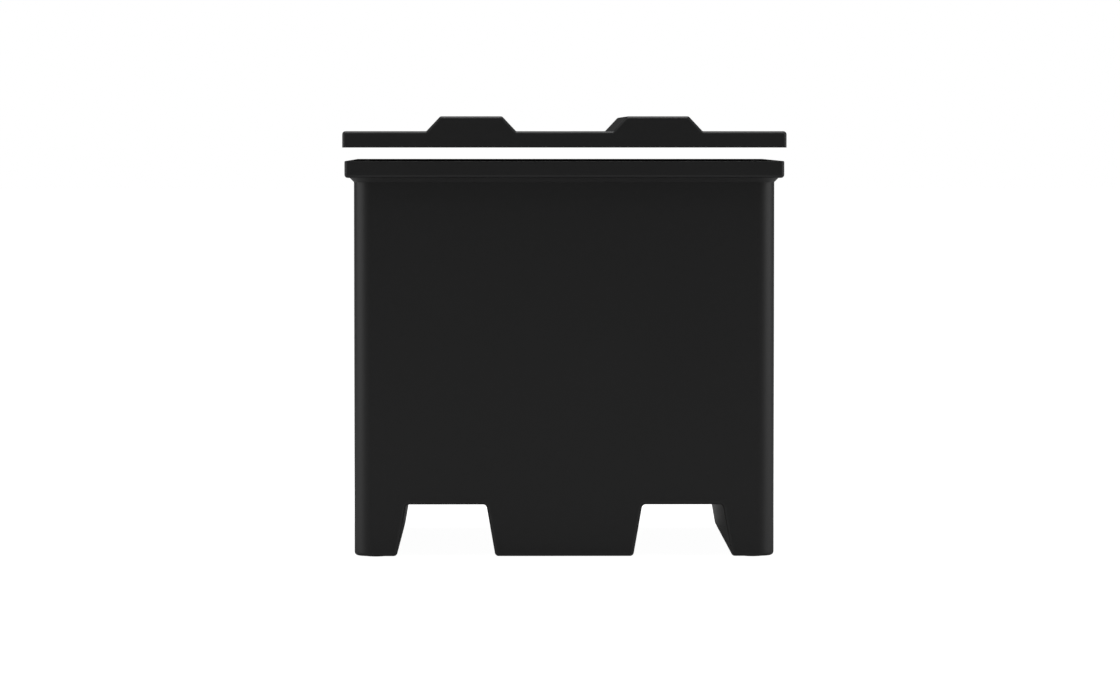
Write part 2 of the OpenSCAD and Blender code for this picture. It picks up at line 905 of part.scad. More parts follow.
module drain_body() {
  color(BRASS)
    difference() {
      union() {
        rod_y(drain_x, tail_in, drain_z, tail_r, chamber_y - tail_in);
        rod_y(drain_x, back_y + drain_seal_t, drain_z, flange_r, drain_flange_t);
        rod_y(drain_x, chamber_y - cut, drain_z, chamber_r, chamber_end - chamber_y + cut);
        rod_z(drain_x, ball_y, drain_z, stem_boss_r, stem_boss_top - drain_z);
      }
      rod_y(drain_x, tail_in - cut, drain_z, water_r, chamber_end - tail_in);
      translate([drain_x, ball_y, drain_z]) sphere(ball_r + ball_gap);
      rod_y(drain_x, ball_y, drain_z, ball_r + ball_gap, chamber_end - ball_y + cut);
      rod_y(drain_x, ball_y - seat_out, drain_z, seat_r + fixed_gap, seat_out);
      rod_z(drain_x, ball_y, drain_z, stem_r + running_gap, chamber_r + 10);
      rod_z(drain_x, ball_y, stem_boss_top - packing_t, stem_r + 2, packing_t + cut);
    }
}

module drain_outer_seal() {
  color(SEAL)
    ring_y(drain_x, back_y, drain_z, flange_r - 1, tail_r + fixed_gap, drain_seal_t);
}

module drain_inner_seal() {
  color(SEAL)
    ring_y(drain_x, inside_d / 2 - drain_seal_t, drain_z, flange_r - 1, tail_r + fixed_gap,
      drain_seal_t);
}

module drain_nut() {
  y0 = inside_d / 2 - drain_seal_t - nut_t;
  color(BRASS)
    difference() {
      translate([drain_x, y0, drain_z]) rotate([-90, 0, 0]) cylinder(r = nut_r, h = nut_t, $fn = 6);
      rod_y(drain_x, y0 - cut, drain_z, tail_r + fixed_gap, nut_t + 2 * cut);
    }
}

// A cap on the valve's inner end, slotted all round
module drain_strainer() {
  l = 16;
  color(STEEL)
    difference() {
      rod_y(drain_x, strainer_in, drain_z, strainer_r, l);
      rod_y(drain_x, strainer_in + 1.5, drain_z, tail_r + fixed_gap, l);
      for (i = [0 : 9])
        translate([drain_x, strainer_in + 1.5, drain_z]) rotate([0, 18 + i * 36, 0])
          translate([-1.2, 0, 0]) cube([2.4, 6, strainer_r + cut]);
    }
}

module ball_seats() {
  color(NATURAL) {
    ring_y(drain_x, ball_y - seat_out, drain_z, seat_r, water_r, seat_out - seat_in);
    ring_y(drain_x, ball_y + seat_in, drain_z, seat_r, water_r, seat_out - seat_in);
  }
}

module stem_packing() {
  color(SEAL)
    translate([drain_x, ball_y, 0])
      ring_z(stem_boss_top - packing_t, stem_r + 2 - fixed_gap, stem_r + running_gap, packing_t);
}

module hose_spigot() {
  plug_y = ball_y + seat_out;
  collar_t = 6;
  color(BRASS)
    difference() {
      union() {
        rod_y(drain_x, plug_y, drain_z, ball_r + ball_gap - fixed_gap, chamber_end - plug_y + cut);
        translate([drain_x, chamber_end, drain_z]) rotate([-90, 0, 0])
          cylinder(r = chamber_r, h = collar_t, $fn = 6);
        rod_y(drain_x, chamber_end, drain_z, spigot_r, collar_t + spigot_l);
      }
      rod_y(drain_x, plug_y - cut, drain_z, water_r, chamber_end - plug_y + collar_t + spigot_l + 2 * cut);
    }
}

module valve_ball() {
  color(STEEL)
    difference() {
      translate([drain_x, ball_y, drain_z]) sphere(ball_r);
      translate([drain_x - ball_r - cut, ball_y, drain_z]) rotate([0, 90, 0])
        cylinder(r = water_r, h = 2 * (ball_r + cut));
      rod_z(drain_x, ball_y, drain_z + water_r + 1.5, stem_r + fixed_gap, ball_r);
    }
}

module valve_stem() {
  color(STEEL)
    rod_z(drain_x, ball_y, drain_z + water_r + 1.6, stem_r,
      lever_z + lever_t + stem_nut_t + 1 - drain_z - water_r - 1.6);
}

module drain_lever() {
  color(STEEL)
    difference() {
      union() {
        rod_z(drain_x, ball_y, lever_z, lever_hub_r, lever_t);
        translate([drain_x, ball_y - lever_w / 2, lever_z]) cube([lever_l, lever_w, lever_t]);
      }
      rod_z(drain_x, ball_y, lever_z - cut, stem_r + fixed_gap, lever_t + 2 * cut);
    }
}

module lever_sleeve() {
  t = 1.6;
  g = fixed_gap;
  x0 = drain_x + lever_l - sleeve_l;
  color(RUBBER)
    difference() {
      translate([x0, ball_y - lever_w / 2 - t, lever_z - t])
        cube([sleeve_l + t, lever_w + 2 * t, lever_t + 2 * t]);
      translate([x0 - cut, ball_y - lever_w / 2 - g, lever_z - g])
        cube([sleeve_l + cut + g, lever_w + 2 * g, lever_t + 2 * g]);
    }
}

module lever_nut() {
  color(STEEL)
    difference() {
      translate([drain_x, ball_y, lever_z + lever_t]) cylinder(r = 6, h = stem_nut_t, $fn = 6);
      rod_z(drain_x, ball_y, lever_z + lever_t - cut, stem_r + fixed_gap, stem_nut_t + 2 * cut);
    }
}

// ---------- Lid ----------

module lid_rib(x) {
  half = rib_w / 2;
  along_y(-lid_d / 2, lid_d)
    polygon([[x - half, lid_top - cut], [x - half, lid_top], [x - half + rib_lean, lid_top + rib_h],
      [x + half - rib_lean, lid_top + rib_h], [x + half, lid_top], [x + half, lid_top - cut]]);
}

// The hollow under a rib, open below
module lid_rib_space(x) {
  low = lid_ceiling - cut;
  high = lid_top + rib_h - rib_shell;
  half_low = rib_w / 2 - rib_side_shift - rib_slope * (low - lid_top);
  half_high = rib_w / 2 - rib_side_shift - rib_slope * (high - lid_top);
  l = seal_out_d - 2 * seal_w - 2;
  along_y(-l / 2, l)
    polygon([[x - half_low, low], [x + half_low, low], [x + half_high, high], [x - half_high, high]]);
}

module lid() {
  color(TUB)
    difference() {
      union() {
        translate([0, 0, lid_z]) rounded_plate(lid_w, lid_d, rim_corner_r, lid_h);
        for (side = [-1, 1])
          lid_rib(side * rib_pitch / 2);
      }
      translate([0, 0, lid_z - cut])
        rounded_plate(lid_w - 2 * lid_lip, lid_d - 2 * lid_lip, rim_corner_r - lid_lip,
          lid_h - lid_top_t + cut);
      for (side = [-1, 1])
        lid_rib_space(side * rib_pitch / 2);
    }
}

module lid_seal() {
  color(SEAL)
    difference() {
      translate([0, 0, lid_ceiling - seal_t])
        rounded_plate(seal_out_w, seal_out_d, rim_corner_r, seal_t);
      translate([0, 0, lid_ceiling - seal_t - cut])
        rounded_plate(seal_out_w - 2 * seal_w, seal_out_d - 2 * seal_w, inside_r, seal_t + 2 * cut);
    }
}

// ---------- Basket ----------

// Two lugs that hold the pins of one bail, on the basket's +X side
module bail_lugs() {
  for (side = [-1, 1])
    mirror([0, side > 0 ? 0 : 1, 0]) {
      rod_y(pivot_x, lug_y, pivot_z, lug_r, lug_t);
      translate([pivot_x - lug_r, lug_y, basket_top - flange_t])
        cube([2 * lug_r, lug_t, pivot_rise + flange_t]);
    }
}

module basket_slots() {
  for (i = [0 : slots_x])
    translate([(i - slots_x / 2) * slot_pitch - slot_w / 2, 0, 0]) {
      translate([0, -basket_d, slot_z]) cube([slot_w, 2 * basket_d, slot_top - slot_z]);
      row = (basket_d - 2 * basket_corner_r) / floor_rows;
      for (j = [0 : floor_rows - 1])
        translate([0, (j - floor_rows / 2) * row + floor_row_land / 2, basket_z - cut])
          cube([slot_w, row - floor_row_land, basket_floor_t + 2 * cut]);
    }
  for (i = [0 : slots_y])
    translate([-basket_w, (i - slots_y / 2) * slot_pitch - slot_w / 2, slot_z])
      cube([2 * basket_w, slot_w, slot_top - slot_z]);
}

module basket() {
  color(DARK)
    difference() {
      union() {
        translate([0, 0, basket_z]) rounded_plate(basket_w, basket_d, basket_corner_r, basket_h);
        translate([0, 0, basket_top - flange_t])
          rounded_plate(basket_w + 2 * flange_w, basket_d + 2 * flange_w,
            basket_corner_r + flange_w, flange_t);
        for (side = [0, 1])
          mirror([side, 0, 0]) bail_lugs();
      }
      difference() {
        translate([0, 0, basket_z + basket_floor_t])
          rounded_plate(basket_w - 2 * basket_wall, basket_d - 2 * basket_wall,
            basket_corner_r - basket_wall, basket_h);
        for (side = [0, 1])
          mirror([side, 0, 0]) bail_lugs();
      }
      basket_slots();
      for (side = [-1, 1])
        rod_y(side * pivot_x, -basket_d / 2, pivot_z, wire_r + running_gap, basket_d);
    }
}

// One bail of the +X side, folded flat over the basket. Its pins point outwards.
module bail() {
  reach_x = pivot_x - bail_reach;
  grip_y = arm_y - bend_r;
  for (side = [0, 1])
    mirror([0, side, 0]) {
      translate([pivot_x, arm_y, pivot_z]) sphere(wire_r);
      rod_y(pivot_x, arm_y, pivot_z, wire_r, pin_end - arm_y);
      translate([reach_x + bend_r, arm_y, pivot_z]) rotate([0, 90, 0])
        cylinder(r = wire_r, h = bail_reach - bend_r);
      translate([reach_x + bend_r, grip_y, pivot_z]) rotate([0, 0, 90])
        rotate_extrude(angle = 90) translate([bend_r, 0]) circle(wire_r);
    }
  rod_y(reach_x, -grip_y, pivot_z, wire_r, 2 * grip_y);
}

module grip() {
  ring_y(pivot_x - bail_reach, -grip_w / 2, pivot_z, grip_r, wire_r + fixed_gap, grip_w);
}

module right_bail() {
  color(STEEL) bail();
}

module right_grip() {
  color(RUBBER) grip();
}

module left_bail() {
  color(STEEL) mirror([1, 0, 0]) bail();
}

module left_grip() {
  color(RUBBER) mirror([1, 0, 0]) grip();
}

tank();
skid_base();
foot_pads();
spindle();
thrust_washer();
spindle_clip();
impeller_guard();
guard_screws();
motor();
motor_bearings();
motor_bracket();
motor_screws();
bracket_screws();
motor_ribbon();
control_board();
board_screws();
control_panel();
panel_screws();
timer_control();
timer_nut();
button_switch();
dc_inlet();
inlet_pin();
status_light();
base_cover();
cover_screws();
drain_body();
drain_outer_seal();
drain_inner_seal();
drain_nut();
drain_strainer();
ball_seats();
stem_packing();
hose_spigot();
lid();
lid_seal();
basket();
left_bail();
left_grip();
right_bail();
right_grip();
impeller();
impeller_magnets();
impeller_bush();
motor_shaft();
magnet_carrier();
drive_magnets();
timer_knob();
timer_shaft();
power_button();
valve_ball();
valve_stem();
drain_lever();
lever_sleeve();
lever_nut();
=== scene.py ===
"""Resin wash station: a black moulded tub on tunnelled skids, with its lid held above the rim.

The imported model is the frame. The moulded shells, the basket, its bails, the controls, the
drain and the screws are made here in finer detail, and every other part gets its finish here.
Lengths are in metres. The front is -Y and the controls are on +Y.
"""

import json
import math

import bmesh
import bpy
from mathutils import Matrix, Vector


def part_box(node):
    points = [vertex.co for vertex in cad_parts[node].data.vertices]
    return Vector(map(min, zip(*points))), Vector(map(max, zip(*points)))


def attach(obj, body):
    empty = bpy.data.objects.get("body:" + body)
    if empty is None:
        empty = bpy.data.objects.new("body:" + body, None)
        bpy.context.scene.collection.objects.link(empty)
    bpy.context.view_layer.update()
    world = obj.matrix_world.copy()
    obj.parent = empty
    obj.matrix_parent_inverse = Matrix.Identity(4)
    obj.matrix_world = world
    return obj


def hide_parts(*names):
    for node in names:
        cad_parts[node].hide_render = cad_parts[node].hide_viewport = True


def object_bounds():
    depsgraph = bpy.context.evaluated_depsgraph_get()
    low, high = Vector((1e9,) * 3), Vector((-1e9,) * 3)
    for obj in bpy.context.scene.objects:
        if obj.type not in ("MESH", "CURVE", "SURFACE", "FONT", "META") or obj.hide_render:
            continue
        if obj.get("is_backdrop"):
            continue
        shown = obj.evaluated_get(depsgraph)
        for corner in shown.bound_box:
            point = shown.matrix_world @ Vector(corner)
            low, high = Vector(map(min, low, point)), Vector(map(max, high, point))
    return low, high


bl_info = {
    "name": "Resin wash station",
    "version": (1, 0, 0),
    "blender": (4, 5, 0),
    "location": "3D View > Sidebar > Wash station",
    "description": "Makes the visible pieces and finishes of a lidded wash station",
    "category": "Object",
}

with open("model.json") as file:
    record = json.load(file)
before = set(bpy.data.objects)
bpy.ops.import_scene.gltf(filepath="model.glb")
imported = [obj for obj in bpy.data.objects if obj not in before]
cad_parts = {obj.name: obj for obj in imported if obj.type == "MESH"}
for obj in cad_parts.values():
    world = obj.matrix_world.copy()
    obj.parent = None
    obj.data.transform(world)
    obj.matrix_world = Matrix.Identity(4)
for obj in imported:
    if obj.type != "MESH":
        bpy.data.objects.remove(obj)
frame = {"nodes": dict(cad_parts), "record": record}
CAD_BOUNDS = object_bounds()
NODES = frame["nodes"]
MM = 0.001
WELD = 2e-6
LEAST_CORNER = 0.2 * MM
HEAD_RADIUS, HEAD_HEIGHT = 2.8 * MM, 1.4 * MM
FOOT_RADIUS = 9 * MM


# ---------- Settings ----------

def length(name, description, default):
    """A length in metres, shown in the scene's units."""
    return bpy.props.FloatProperty(
        name=name, description=description, default=default, min=0.0, unit="LENGTH", precision=4)


def colour(name, description, default):
    """A linear colour."""
    return bpy.props.FloatVectorProperty(
        name=name, description=description, default=default, subtype="COLOR", min=0.0, max=1.0)


class TubSettings(bpy.types.PropertyGroup):
    """Sizes of the tub's moulding that its box doesn't give."""
    overhang: length("Rim overhang", "How far the rim stands out past the walls", 8 * MM)
    rim_height: length("Rim height", "Height of the rim band", 15.4 * MM)
    wall: length("Wall", "Thickness of the walls", 5 * MM)
    corner: length("Corner radius", "Radius of the upright corners", 16 * MM)
    rim_corner: length("Rim corner radius", "Radius of the rim's upright corners", 3.3 * MM)
    edge: length("Edge fillet", "Radius along the bottom and round the tunnels", 3.4 * MM)
    skid_height: length("Skid height", "Height of the tunnels", 47.2 * MM)
    floor: length("Floor", "Thickness of the floor", 5 * MM)
    middle_skid: length("Middle skid", "Width of the middle skid at its bottom", 126 * MM)
    outer_skid: length("Outer skid", "Width of an outer skid at its bottom", 39 * MM)
    lean: length("Flank lean", "How far a tunnel's side leans in over its height", 8.3 * MM)
    back_wall: length("Back wall", "Thickness of the drive bay's back wall", 9 * MM)
    web: length("Web", "Thickness of the webs in the outer skids", 4 * MM)


class LidSettings(bpy.types.PropertyGroup):
    """Sizes of the lid's moulding that its box doesn't give."""
    side: length("Side height", "Height of the lid's side", 14.9 * MM)
    top: length("Top plate", "Thickness of the top plate", 4 * MM)
    lip: length("Lip", "Thickness of the lip", 1.5 * MM)
    edge: length("Edge fillet", "Radius of the top edges and upright corners", 3.0 * MM)
    rib_foot: length("Rib foot", "Width of a rib at its foot", 81.5 * MM)
    rib_lean: length("Rib lean", "How far a rib's side leans in over its height", 12.7 * MM)
    rib_pitch: length("Rib pitch", "Distance between the ribs' middles", 169.5 * MM)
    rib_shell: length("Rib shell", "Thickness of a rib's shell", 3.5 * MM)


class FittingSettings(bpy.types.PropertyGroup):
    """Sizes of the basket, bails and drain that their boxes don't give."""
    basket_wall: length("Basket wall", "Thickness of the basket's sides", 2.5 * MM)
    slot: length("Slot", "Width of a slot in the basket", 12 * MM)
    land: length("Land", "Width of the land between two slots", 7 * MM)
    wire: length("Wire radius", "Radius of the bails' wire", 2.5 * MM)
    bend: length("Bend radius", "Radius of the wire's bends", 9 * MM)
    waterway: length("Waterway", "Radius of the drain's waterway", 5.5 * MM)
    flutes: bpy.props.IntProperty(
        name="Flutes", description="Flutes round the timer knob", default=24, min=3)
    ticks: bpy.props.IntProperty(
        name="Ticks", description="Marks round the timer knob", default=11, min=2)


class FinishSettings(bpy.types.PropertyGroup):
    """Colours of the finishes."""
    tub: colour("Tub", "Moulded shells", (0.0125, 0.0125, 0.0128))
    inner: colour("Inner plastic", "Small black mouldings", (0.02, 0.02, 0.021))
    basket: colour("Basket", "Basket moulding", (0.10, 0.103, 0.108))
    rubber: colour("Rubber", "Seals, feet and grips", (0.012, 0.012, 0.012))
    steel: colour("Steel", "Bright steel", (0.56, 0.57, 0.58))
    brass: colour("Brass", "Drain fittings", (0.62, 0.47, 0.22))
    natural: colour("Natural plastic", "Bushes and seats", (0.72, 0.70, 0.64))
    mark: colour("Marks", "Printed marks", (0.7, 0.7, 0.7))


class StageSettings(bpy.types.PropertyGroup):
    """The camera and the floor."""
    distance: length("Distance", "From the rim's front to the camera", 4.497)
    height: length("Height", "Height of the camera", 0.3863)
    aside: length("Aside", "How far left of the middle the camera stands", 0.0515)
    tilt: bpy.props.FloatProperty(
        name="Tilt", description="Downward tilt", default=math.radians(2.5), subtype="ANGLE")
    turn: bpy.props.FloatProperty(
        name="Turn", description="Turn to the right", default=math.radians(0.604), subtype="ANGLE")
    lens: bpy.props.FloatProperty(
        name="Lens", description="Focal length in millimetres", default=159.0, min=1.0)
    floor_colour: colour("Floor", "Colour of the floor", (0.5, 0.5, 0.5))
    floor_seen: bpy.props.FloatProperty(
        name="Floor seen", description="The floor's own glow, as seen", default=0.98, min=0.0)
    floor_felt: bpy.props.FloatProperty(
        name="Floor felt", description="The floor's own glow, as it lights the tub", default=0.1,
        min=0.0)
    surround: bpy.props.FloatProperty(
        name="Surround", description="Light from all round", default=0.075, min=0.0)
    side_power: bpy.props.FloatProperty(
        name="Side lights", description="Power of each side light in watts", default=20.0, min=0.0)
    top_power: bpy.props.FloatProperty(
        name="Top light", description="Power of the top light in watts", default=42.0, min=0.0)


# ---------- Outlines ----------

def arc(centre, radius, start, end, steps):
    """Points on an arc between two angles in degrees, both ends included."""
    return [Vector((centre[0] + radius * math.cos(a), centre[1] + radius * math.sin(a)))
            for a in (math.radians(start + (end - start) * i / steps) for i in range(steps + 1))]


def filleted(points, radii, steps=6):
    """An open outline whose corners between its ends are rounded to the given radii."""
    out = [points[0]]
    for before, corner, after, radius in zip(points, points[1:-1], points[2:], radii):
        into, away = (corner - before).normalized(), (after - corner).normalized()
        turn = into.angle_signed(away)
        reach = radius * math.tan(abs(turn) / 2)
        side = Vector((into.y, -into.x)) * (1 if turn > 0 else -1)
        start = corner - into * reach
        middle = start + side * radius
        first = math.atan2(*(start - middle).yx)
        for i in range(steps + 1):
            a = first - turn * i / steps
            out.append(middle + radius * Vector((math.cos(a), math.sin(a))))
    return out + [points[-1]]


def outline_normals(points):
    """Unit normals to the left of an open outline's direction."""
    normals = []
    for i, point in enumerate(points):
        before = point - points[max(i - 1, 0)]
        after = points[min(i + 1, len(points) - 1)] - point
        along = (before.normalized() + after.normalized()).normalized()
        normals.append(Vector((-along.y, along.x)))
    return normals


def rounded_ring(half_w, half_d, radius, z, steps=14):
    """A level rectangle with round corners."""
    points = []
    for sx, sy, start in ((1, 1, 0), (-1, 1, 90), (-1, -1, 180), (1, -1, 270)):
        middle = (sx * (half_w - radius), sy * (half_d - radius))
        points += [Vector((p.x, p.y, z)) for p in arc(middle, radius, start, start + 90, steps)]
    return points


def quarter(radius, steps=6):
    """A round edge: pairs of how far in it is and how far along, from one face to the other."""
    return [(radius * (1 - math.sin(a)), radius * (1 - math.cos(a)))
            for a in (math.pi / 2 * i / steps for i in range(steps + 1))]


# ---------- Meshes ----------

def add_object(name, data):
    """A new object in the scene that holds the given data."""
    obj = bpy.data.objects.new(name, data)
    bpy.context.scene.collection.objects.link(obj)
    return obj


def object_from(name, bm):
    """Welds a mesh, points its faces outwards and puts it in an object at the origin."""
    bmesh.ops.remove_doubles(bm, verts=bm.verts, dist=WELD)
    bmesh.ops.dissolve_degenerate(bm, edges=bm.edges, dist=WELD / 2)
    bmesh.ops.recalc_face_normals(bm, faces=bm.faces)
    mesh = bpy.data.meshes.new(name)
    bm.to_mesh(mesh)
    bm.free()
    return add_object(name, mesh)


def loft(name, rings, loop=False):
    """A closed skin over rings of equally many points, with flat ends unless it loops."""
    bm = bmesh.new()
    rows = [[bm.verts.new(p) for p in ring] for ring in rings]
    pairs = list(zip(rows, rows[1:])) + ([(rows[-1], rows[0])] if loop else [])
    for low, high in pairs:
        for i in range(len(low)):
            j = (i + 1) % len(low)
            bm.faces.new((low[i], low[j], high[j], high[i]))
    if not loop:
        bm.faces.new(reversed(rows[0]))
        bm.faces.new(rows[-1])
    return object_from(name, bm)


def along_y(points, y):
    """An outline in X and Z as a ring at y."""
    return [Vector((p.x, y, p.y)) for p in points]


def prism_y(name, points, y0, y1):
    """An outline in X and Z drawn out from y0 to y1."""
    return loft(name, [along_y(points, y0), along_y(points, y1)])


AXES = {"X": Matrix.Rotation(math.radians(90), 3, "Y"),
        "Y": Matrix.Rotation(math.radians(-90), 3, "X"), "Z": Matrix.Identity(3)}


def lathe(name, profile, centre, axis="Z", steps=64, loop=False, shape=None):
    """Turns (radius, along) pairs round an axis through centre.

    shape, if given, changes a radius by its place along the axis and its angle.
    """
    turn, middle, rings = AXES[axis], Vector(centre), []
    for radius, along in profile:
        ring = []
        for i in range(steps):
            a = 2 * math.pi * i / steps
            r = shape(radius, along, a) if shape else radius
            ring.append(middle + turn @ Vector((r * math.cos(a), r * math.sin(a), along)))
        rings.append(ring)
    return loft(name, rings, loop)


def cylinder(name, centre, radius, height, axis="Z", steps=48):
    """A plain round bar that starts at centre."""
    return lathe(name, [(radius, 0), (radius, height)], centre, axis, steps)


def block(name, low, high, radius=0.0, segments=3):
    """A box with every edge rounded."""
    bm = bmesh.new()
    bmesh.ops.create_cube(bm, size=1.0)
    low, high = Vector(low), Vector(high)
    for v in bm.verts:
        v.co = Vector(((low[k] + high[k]) / 2 + v.co[k] * (high[k] - low[k]) for k in range(3)))
    if radius:
        bmesh.ops.bevel(bm, geom=bm.edges, offset=radius, segments=segments, profile=0.5,
                        affect="EDGES")
    return object_from(name, bm)


def settle(obj):
    """Turns an object's modifiers into plain mesh."""
    bpy.context.view_layer.update()
    done = obj.evaluated_get(bpy.context.evaluated_depsgraph_get())
    mesh, old = bpy.data.meshes.new_from_object(done), obj.data
    obj.modifiers.clear()
    obj.data = mesh
    bpy.data.meshes.remove(old)
    return obj


def joined(name, objects):
    """Several objects as one."""
    bm = bmesh.new()
    for obj in objects:
        bm.from_mesh(obj.data)
        bpy.data.objects.remove(obj)
    mesh = bpy.data.meshes.new(name)
    bm.to_mesh(mesh)
    bm.free()
    return add_object(name, mesh)


def carve(obj, tools, operation="DIFFERENCE"):
    """Cuts tools out of obj, or adds them to it."""
    tool = tools if isinstance(tools, bpy.types.Object) else joined("tools", tools)
    step = obj.modifiers.new("carve", "BOOLEAN")
    step.object, step.operation, step.solver = tool, operation, "EXACT"
    settle(obj)
    bpy.data.objects.remove(tool)
    return obj


def soften(obj, angle=32):
    """Smooth shading that keeps flat faces flat and true edges sharp."""
    for polygon in obj.data.polygons:
        polygon.use_smooth = True
    obj.data.set_sharp_from_angle(angle=math.radians(angle))
    step = obj.modifiers.new("normals", "WEIGHTED_NORMAL")
    step.keep_sharp = True
    return settle(obj)


def place(obj, body, finish, replaced=()):
    """Gives a piece its finish and body, and hides the frame nodes that it stands for."""
    soften(obj)
    obj.data.materials.clear()
    obj.data.materials.append(finish)
    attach(obj, body)
    if replaced:
        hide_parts(*replaced)
    return obj


def grown(corners, margin):
    """A box made larger on every side."""
    low, high = corners
    return low - Vector((margin,) * 3), high + Vector((margin,) * 3)


def corners_of(node, radius):
    """The four places of a node's like pieces of that radius, from its box."""
    low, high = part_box(node)
    return [(x, y) for x in (low.x + radius, high.x - radius)
            for y in (low.y + radius, high.y - radius)]


# ---------- Finishes ----------

def node_of(tree, kind, inputs=(), **settings):
    """A shader node with its settings and inputs. An input is a value or another node's socket."""
    node = tree.nodes.new(kind)
    for key, value in settings.items():
        setattr(node, key, value)
    for key, value in dict(inputs).items():
        if isinstance(value, bpy.types.NodeSocket):
            tree.links.new(value, node.inputs[key])
        else:
            node.inputs[key].default_value = value
    return node


def finish(name, base, rough=0.5, metallic=0.0, grain=900.0, depth=0.04, stretch=(1, 1, 1),
           shade=0.12, wander=0.06, specular=0.5, coat=0.0):
    """A procedural finish: fine grain in relief, slow drift in colour and in roughness."""
    material = bpy.data.materials.get(name)
    if material:
        return material
    material = bpy.data.materials.new(name)
    material.use_nodes = True
    tree = material.node_tree
    shader = tree.nodes["Principled BSDF"]
    shader.inputs["Metallic"].default_value = metallic
    shader.inputs["Specular IOR Level"].default_value = specular
    shader.inputs["Coat Weight"].default_value = coat
    place_of = node_of(tree, "ShaderNodeTexCoord").outputs["Object"]
    stretched = node_of(tree, "ShaderNodeMapping", {"Vector": place_of, "Scale": stretch})
    fine = node_of(tree, "ShaderNodeTexNoise", {
        "Vector": stretched.outputs["Vector"], "Scale": grain, "Detail": 3.0, "Roughness": 0.6})
    slow = node_of(tree, "ShaderNodeTexNoise", {
        "Vector": place_of, "Scale": 9.0, "Detail": 4.0, "Roughness": 0.55})
    dark = tuple(c * (1 - shade) for c in base)
    light = tuple(min(1.0, c * (1 + shade)) for c in base)
    ramp = node_of(tree, "ShaderNodeValToRGB", {"Fac": slow.outputs["Fac"]})
    ramp.color_ramp.elements[0].position, ramp.color_ramp.elements[1].position = 0.3, 0.7
    ramp.color_ramp.elements[0].color = (*dark, 1)
    ramp.color_ramp.elements[1].color = (*light, 1)
    mixed = node_of(tree, "ShaderNodeMix", {
        "Factor": fine.outputs["Fac"], "A": ramp.outputs["Color"], "B": (*base, 1)},
        data_type="RGBA")
    spread = node_of(tree, "ShaderNodeMapRange", {
        "Value": slow.outputs["Fac"], "From Min": 0.3, "From Max": 0.7,
        "To Min": rough - wander, "To Max": rough + wander})
    relief = node_of(tree, "ShaderNodeBump", {
        "Height": fine.outputs["Fac"], "Strength": depth * 10, "Distance": 0.0001})
    tree.links.new(mixed.outputs["Result"], shader.inputs["Base Color"])
    tree.links.new(spread.outputs["Result"], shader.inputs["Roughness"])
    tree.links.new(relief.outputs["Normal"], shader.inputs["Normal"])
    return material


def finishes(kit):
    """The finish of every material slot."""
    metal = dict(metallic=1.0, grain=500.0, shade=0.06)
    drawn = (1, 1, 14)
    return {
        "tub": finish("moulded_black", kit.tub, rough=0.47, grain=850.0, depth=0.05, shade=0.05,
                      wander=0.012),
        "rubber": finish("rubber", kit.rubber, rough=0.8, grain=600.0, depth=0.06),
        "seal": finish("seal", kit.rubber, rough=0.7, grain=1200.0, depth=0.03),
        "grip": finish("grip_rubber", kit.rubber, rough=0.65, grain=1400.0, depth=0.05),
        "steel": finish("bright_steel", kit.steel, rough=0.28, stretch=drawn, **metal),
        "screw": finish("plated_screw", kit.steel, rough=0.35, **metal),
        "wire": finish("stainless_wire", kit.steel, rough=0.22, stretch=(1, 12, 1), **metal),
        "bracket_steel": finish("zinc_sheet", kit.steel, rough=0.42, **metal),
        "lever_steel": finish("lever_steel", kit.steel, rough=0.36, stretch=(0.2, 3, 3), **metal),
        "zinc": finish("cast_zinc", (0.42, 0.43, 0.44), rough=0.5, **metal),
        "chrome": finish("polished_ball", (0.6, 0.6, 0.62), rough=0.1, depth=0.01, **metal),
        "magnet": finish("nickel", (0.5, 0.51, 0.52), rough=0.2, depth=0.01, **metal),
        "brass": finish("turned_brass", kit.brass, rough=0.3, stretch=(1, 18, 1), **metal),
        "button": finish("spun_button", (0.45, 0.46, 0.47), rough=0.3, **metal),
        "bearing_plastic": finish("natural_plastic", kit.natural, rough=0.4, depth=0.02),
        "motor_can": finish("motor_black", (0.03, 0.03, 0.032), rough=0.35, coat=0.2),
        "ribbon": finish("ribbon_grey", (0.3, 0.3, 0.31), rough=0.5, stretch=(8, 1, 1)),
        "board": finish("board_green", (0.015, 0.12, 0.045), rough=0.3, coat=0.4),
        "panel": finish("panel_black", kit.inner, rough=0.55, grain=1300.0, depth=0.05),
        "inner_plastic": finish("inner_plastic", kit.inner, rough=0.45, depth=0.03),
        "cover_plastic": finish("cover_plastic", kit.inner, rough=0.55, depth=0.05),
        "basket_plastic": finish("basket_plastic", kit.basket, rough=0.45, depth=0.03),
        "knob": finish("knob_black", kit.inner, rough=0.5, grain=1500.0, depth=0.04),
        "lens": finish("status_lens", (0.1, 0.6, 0.28), rough=0.15, depth=0.01, coat=0.5),
        "mark": finish("printed_mark", kit.mark, rough=0.5, depth=0.01, shade=0.04),
    }


# ---------- Geometry Nodes ----------

def new_tree(name, inputs):
    """A node tree with a geometry output and the named inputs, and each input's identifier."""
    tree = bpy.data.node_groups.new(name, "GeometryNodeTree")
    tree.interface.new_socket("Geometry", in_out="OUTPUT", socket_type="NodeSocketGeometry")
    tree.interface.new_socket("Geometry", in_out="INPUT", socket_type="NodeSocketGeometry")
    keys = {label: tree.interface.new_socket(label, in_out="INPUT", socket_type=kind).identifier
            for label, kind in inputs}
    return tree, node_of(tree, "NodeGroupInput"), node_of(tree, "NodeGroupOutput"), keys


def close_tree(tree, ends, instances, given):
    """Ends a tree in real geometry with its material set."""
    real = node_of(tree, "GeometryNodeRealizeInstances", {"Geometry": instances})
    painted = node_of(tree, "GeometryNodeSetMaterial", {
        "Geometry": real.outputs["Geometry"], "Material": given.outputs["Material"]})
    tree.links.new(painted.outputs["Geometry"], ends.inputs["Geometry"])


